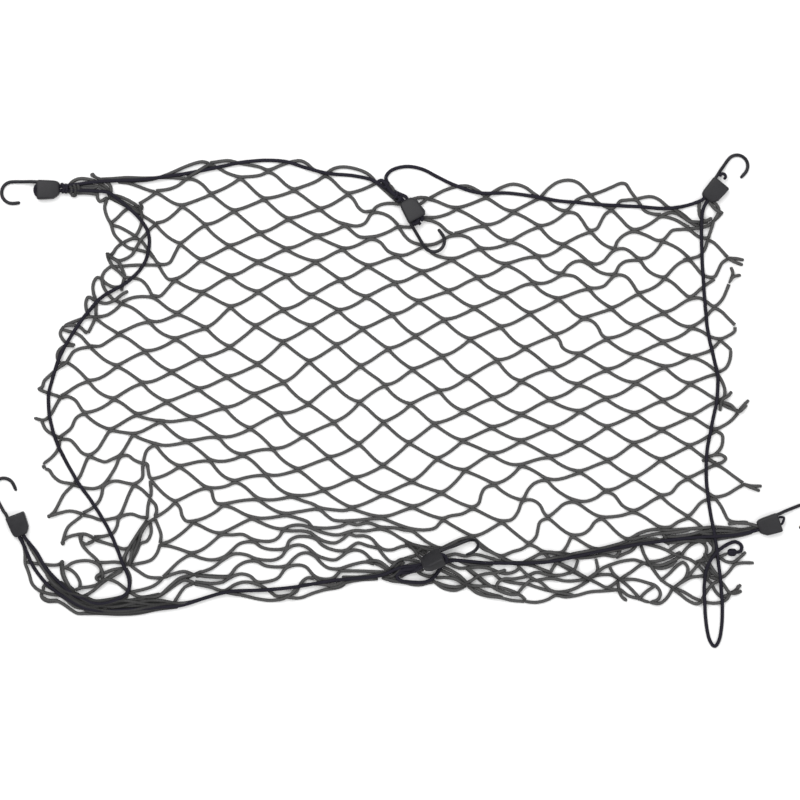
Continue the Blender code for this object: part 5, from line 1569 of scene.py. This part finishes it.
# the cords' knots where they swell out of a hook's mouth or lie frayed in it:
# hook: [(radius, [(right, down, height), ...]), ...]
KNOTS = {
    "top_left": [
        (2.0, [(38.6, 184.5, 5.0), (36.2, 187, 5.6), (35.6, 190.5, 6.0),
               (36.6, 194, 5.6), (40.2, 197.5, 5.0)]),
        (1.7, [(40.5, 186, 5.5), (39.2, 190, 6.8), (40.5, 194.5, 5.5)]),
        (1.6, [(61.4, 185.6, 5.0), (62.8, 184.6, 7.6), (64.4, 187.6, 8.2),
               (64.0, 191.2, 7.2), (62.6, 192.8, 4.6)]),
        (1.6, [(65.6, 184.4, 5.0), (67.0, 186.8, 7.8), (67.2, 190.2, 7.8),
               (65.6, 193.2, 4.8)]),
        (1.5, [(63.0, 188.4, 8.4), (66.0, 188.0, 8.6), (68.6, 188.8, 7.6)])],
    "top_middle": [
        (1.9, [(377.6, 181.8, 3.8), (381.4, 180.6, 5.4), (385.0, 183.0, 6.8),
               (387.6, 187.0, 7.6), (390.4, 191.0, 7.6), (394.4, 194.8, 8.0),
               (398.8, 198.0, 8.8), (402.4, 201.4, 9.4)]),
        (1.5, [(385.8, 182.4, 6.2), (387.4, 184.8, 8.6), (385.8, 187.4, 8.4),
               (383.4, 187.2, 5.8)]),
        (1.6, [(396.6, 193.4, 8.0), (397.0, 195.6, 9.8), (395.2, 198.0, 9.6),
               (393.4, 198.6, 7.4)]),
        (1.6, [(400.4, 196.6, 9.0), (400.6, 199.0, 10.8), (398.8, 201.4, 10.4),
               (397.0, 202.0, 8.2)]),
        (2.9, [(410.8, 221.6, 8.2), (413.2, 223.4, 8.6), (416.4, 222.6, 8.8),
               (417.8, 219.8, 9.0), (417.8, 217.0, 9.2)]),
        (1.7, [(417.6, 216.4, 9.6), (420.4, 216.8, 9.8), (422.2, 218.6, 9.4),
               (421.4, 221.6, 8.6)]),
        (1.4, [(420.0, 206.6, 9.0), (422.2, 209.4, 9.2), (424.0, 212.2, 9.2),
               (422.8, 215.2, 9.2), (422.4, 218.0, 9.0)]),
        (1.8, [(418.4, 222.4, 7.0), (420.6, 224.8, 6.4)])],
    "top_right": [
        (1.6, [(719.0, 176.5, 5.5), (721.6, 174.0, 6.0), (724.2, 174.6, 6.2),
               (725.3, 177.2, 6.0), (723.6, 179.6, 5.6)])],
    "bottom_middle": [
        (2.2, [(440.0, 553.6, 15.0), (444.0, 555.2, 14.4),
               (446.2, 558.8, 13.0), (445.6, 562.6, 11.0)]),
        (1.85, [(398.0, 572.6, 5.0), (404.0, 569.6, 7.0), (411.0, 568.6, 9.5),
                (418.0, 566.8, 12.2), (423.5, 565.4, 13.5)])],
    "bottom_right": [
        (1.3, [(777.5, 517.6, 5.0), (780.6, 517.0, 6.0), (783.4, 517.6, 6.2),
               (783.0, 521.0, 6.0), (781.2, 524.0, 5.2), (778.5, 524.5, 4.6)])],
}
for hook, loops in KNOTS.items():
    tube = Tubes(10)
    for radius, rows in loops:
        line = catmull(rows, 0.5)
        left = np.minimum(run_of(line), run_of(line)[-1] - run_of(line))
        tube.add(line, radius * np.where(left < 0.4, 0.6, np.where(
            left < 1.0, 0.88, 1.0)), turn=12.0, longest=2.0, shortest=0.4)
    knot = tube.make("knot_" + hook, border_cord)
    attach(knot, "root")

# ---------------------------------------------------------- table and light
mat, tree, shader = nodes_of("pale_table")
coord = tree.nodes.new("ShaderNodeTexCoord")
grain = tree.nodes.new("ShaderNodeTexNoise")
grain.inputs["Scale"].default_value = 30.0
grain.inputs["Detail"].default_value = 4.0
tree.links.new(coord.outputs["Object"], grain.inputs["Vector"])
ramp = tree.nodes.new("ShaderNodeValToRGB")
ramp.color_ramp.elements[0].color = (0.93, 0.93, 0.93, 1.0)
ramp.color_ramp.elements[1].color = (0.97, 0.97, 0.97, 1.0)
tree.links.new(grain.outputs["Fac"], ramp.inputs["Fac"])
tree.links.new(ramp.outputs["Color"], shader.inputs["Base Color"])
shader.inputs["Roughness"].default_value = 0.9
shader.inputs["Specular IOR Level"].default_value = 0.1
bpy.ops.mesh.primitive_plane_add(size=6.0, location=(0.0, 0.0, -0.0002))
floor = bpy.context.object
floor.name = "table"
floor.data.materials.append(mat)

surround = bpy.data.worlds.new("soft_white")
bpy.context.scene.world = surround
surround.use_nodes = True
back = surround.node_tree.nodes["Background"]
back.inputs["Color"].default_value = (1.0, 1.0, 1.0, 1.0)
back.inputs["Strength"].default_value = 0.8


def softbox(name, place, size, power):
    data = bpy.data.lights.new(name, "AREA")
    data.shape = "SQUARE"
    data.size = size
    data.energy = power
    obj = bpy.data.objects.new(name, data)
    obj.location = place
    obj.rotation_euler = (Vector((0, 0, 0)) - Vector(place)).to_track_quat(
        "-Z", "Y").to_euler()
    bpy.context.scene.collection.objects.link(obj)


softbox("softbox_main", (-0.5, 0.9, 1.9), 1.6, 30.0)
softbox("softbox_fill", (1.1, -0.9, 1.7), 1.6, 12.0)
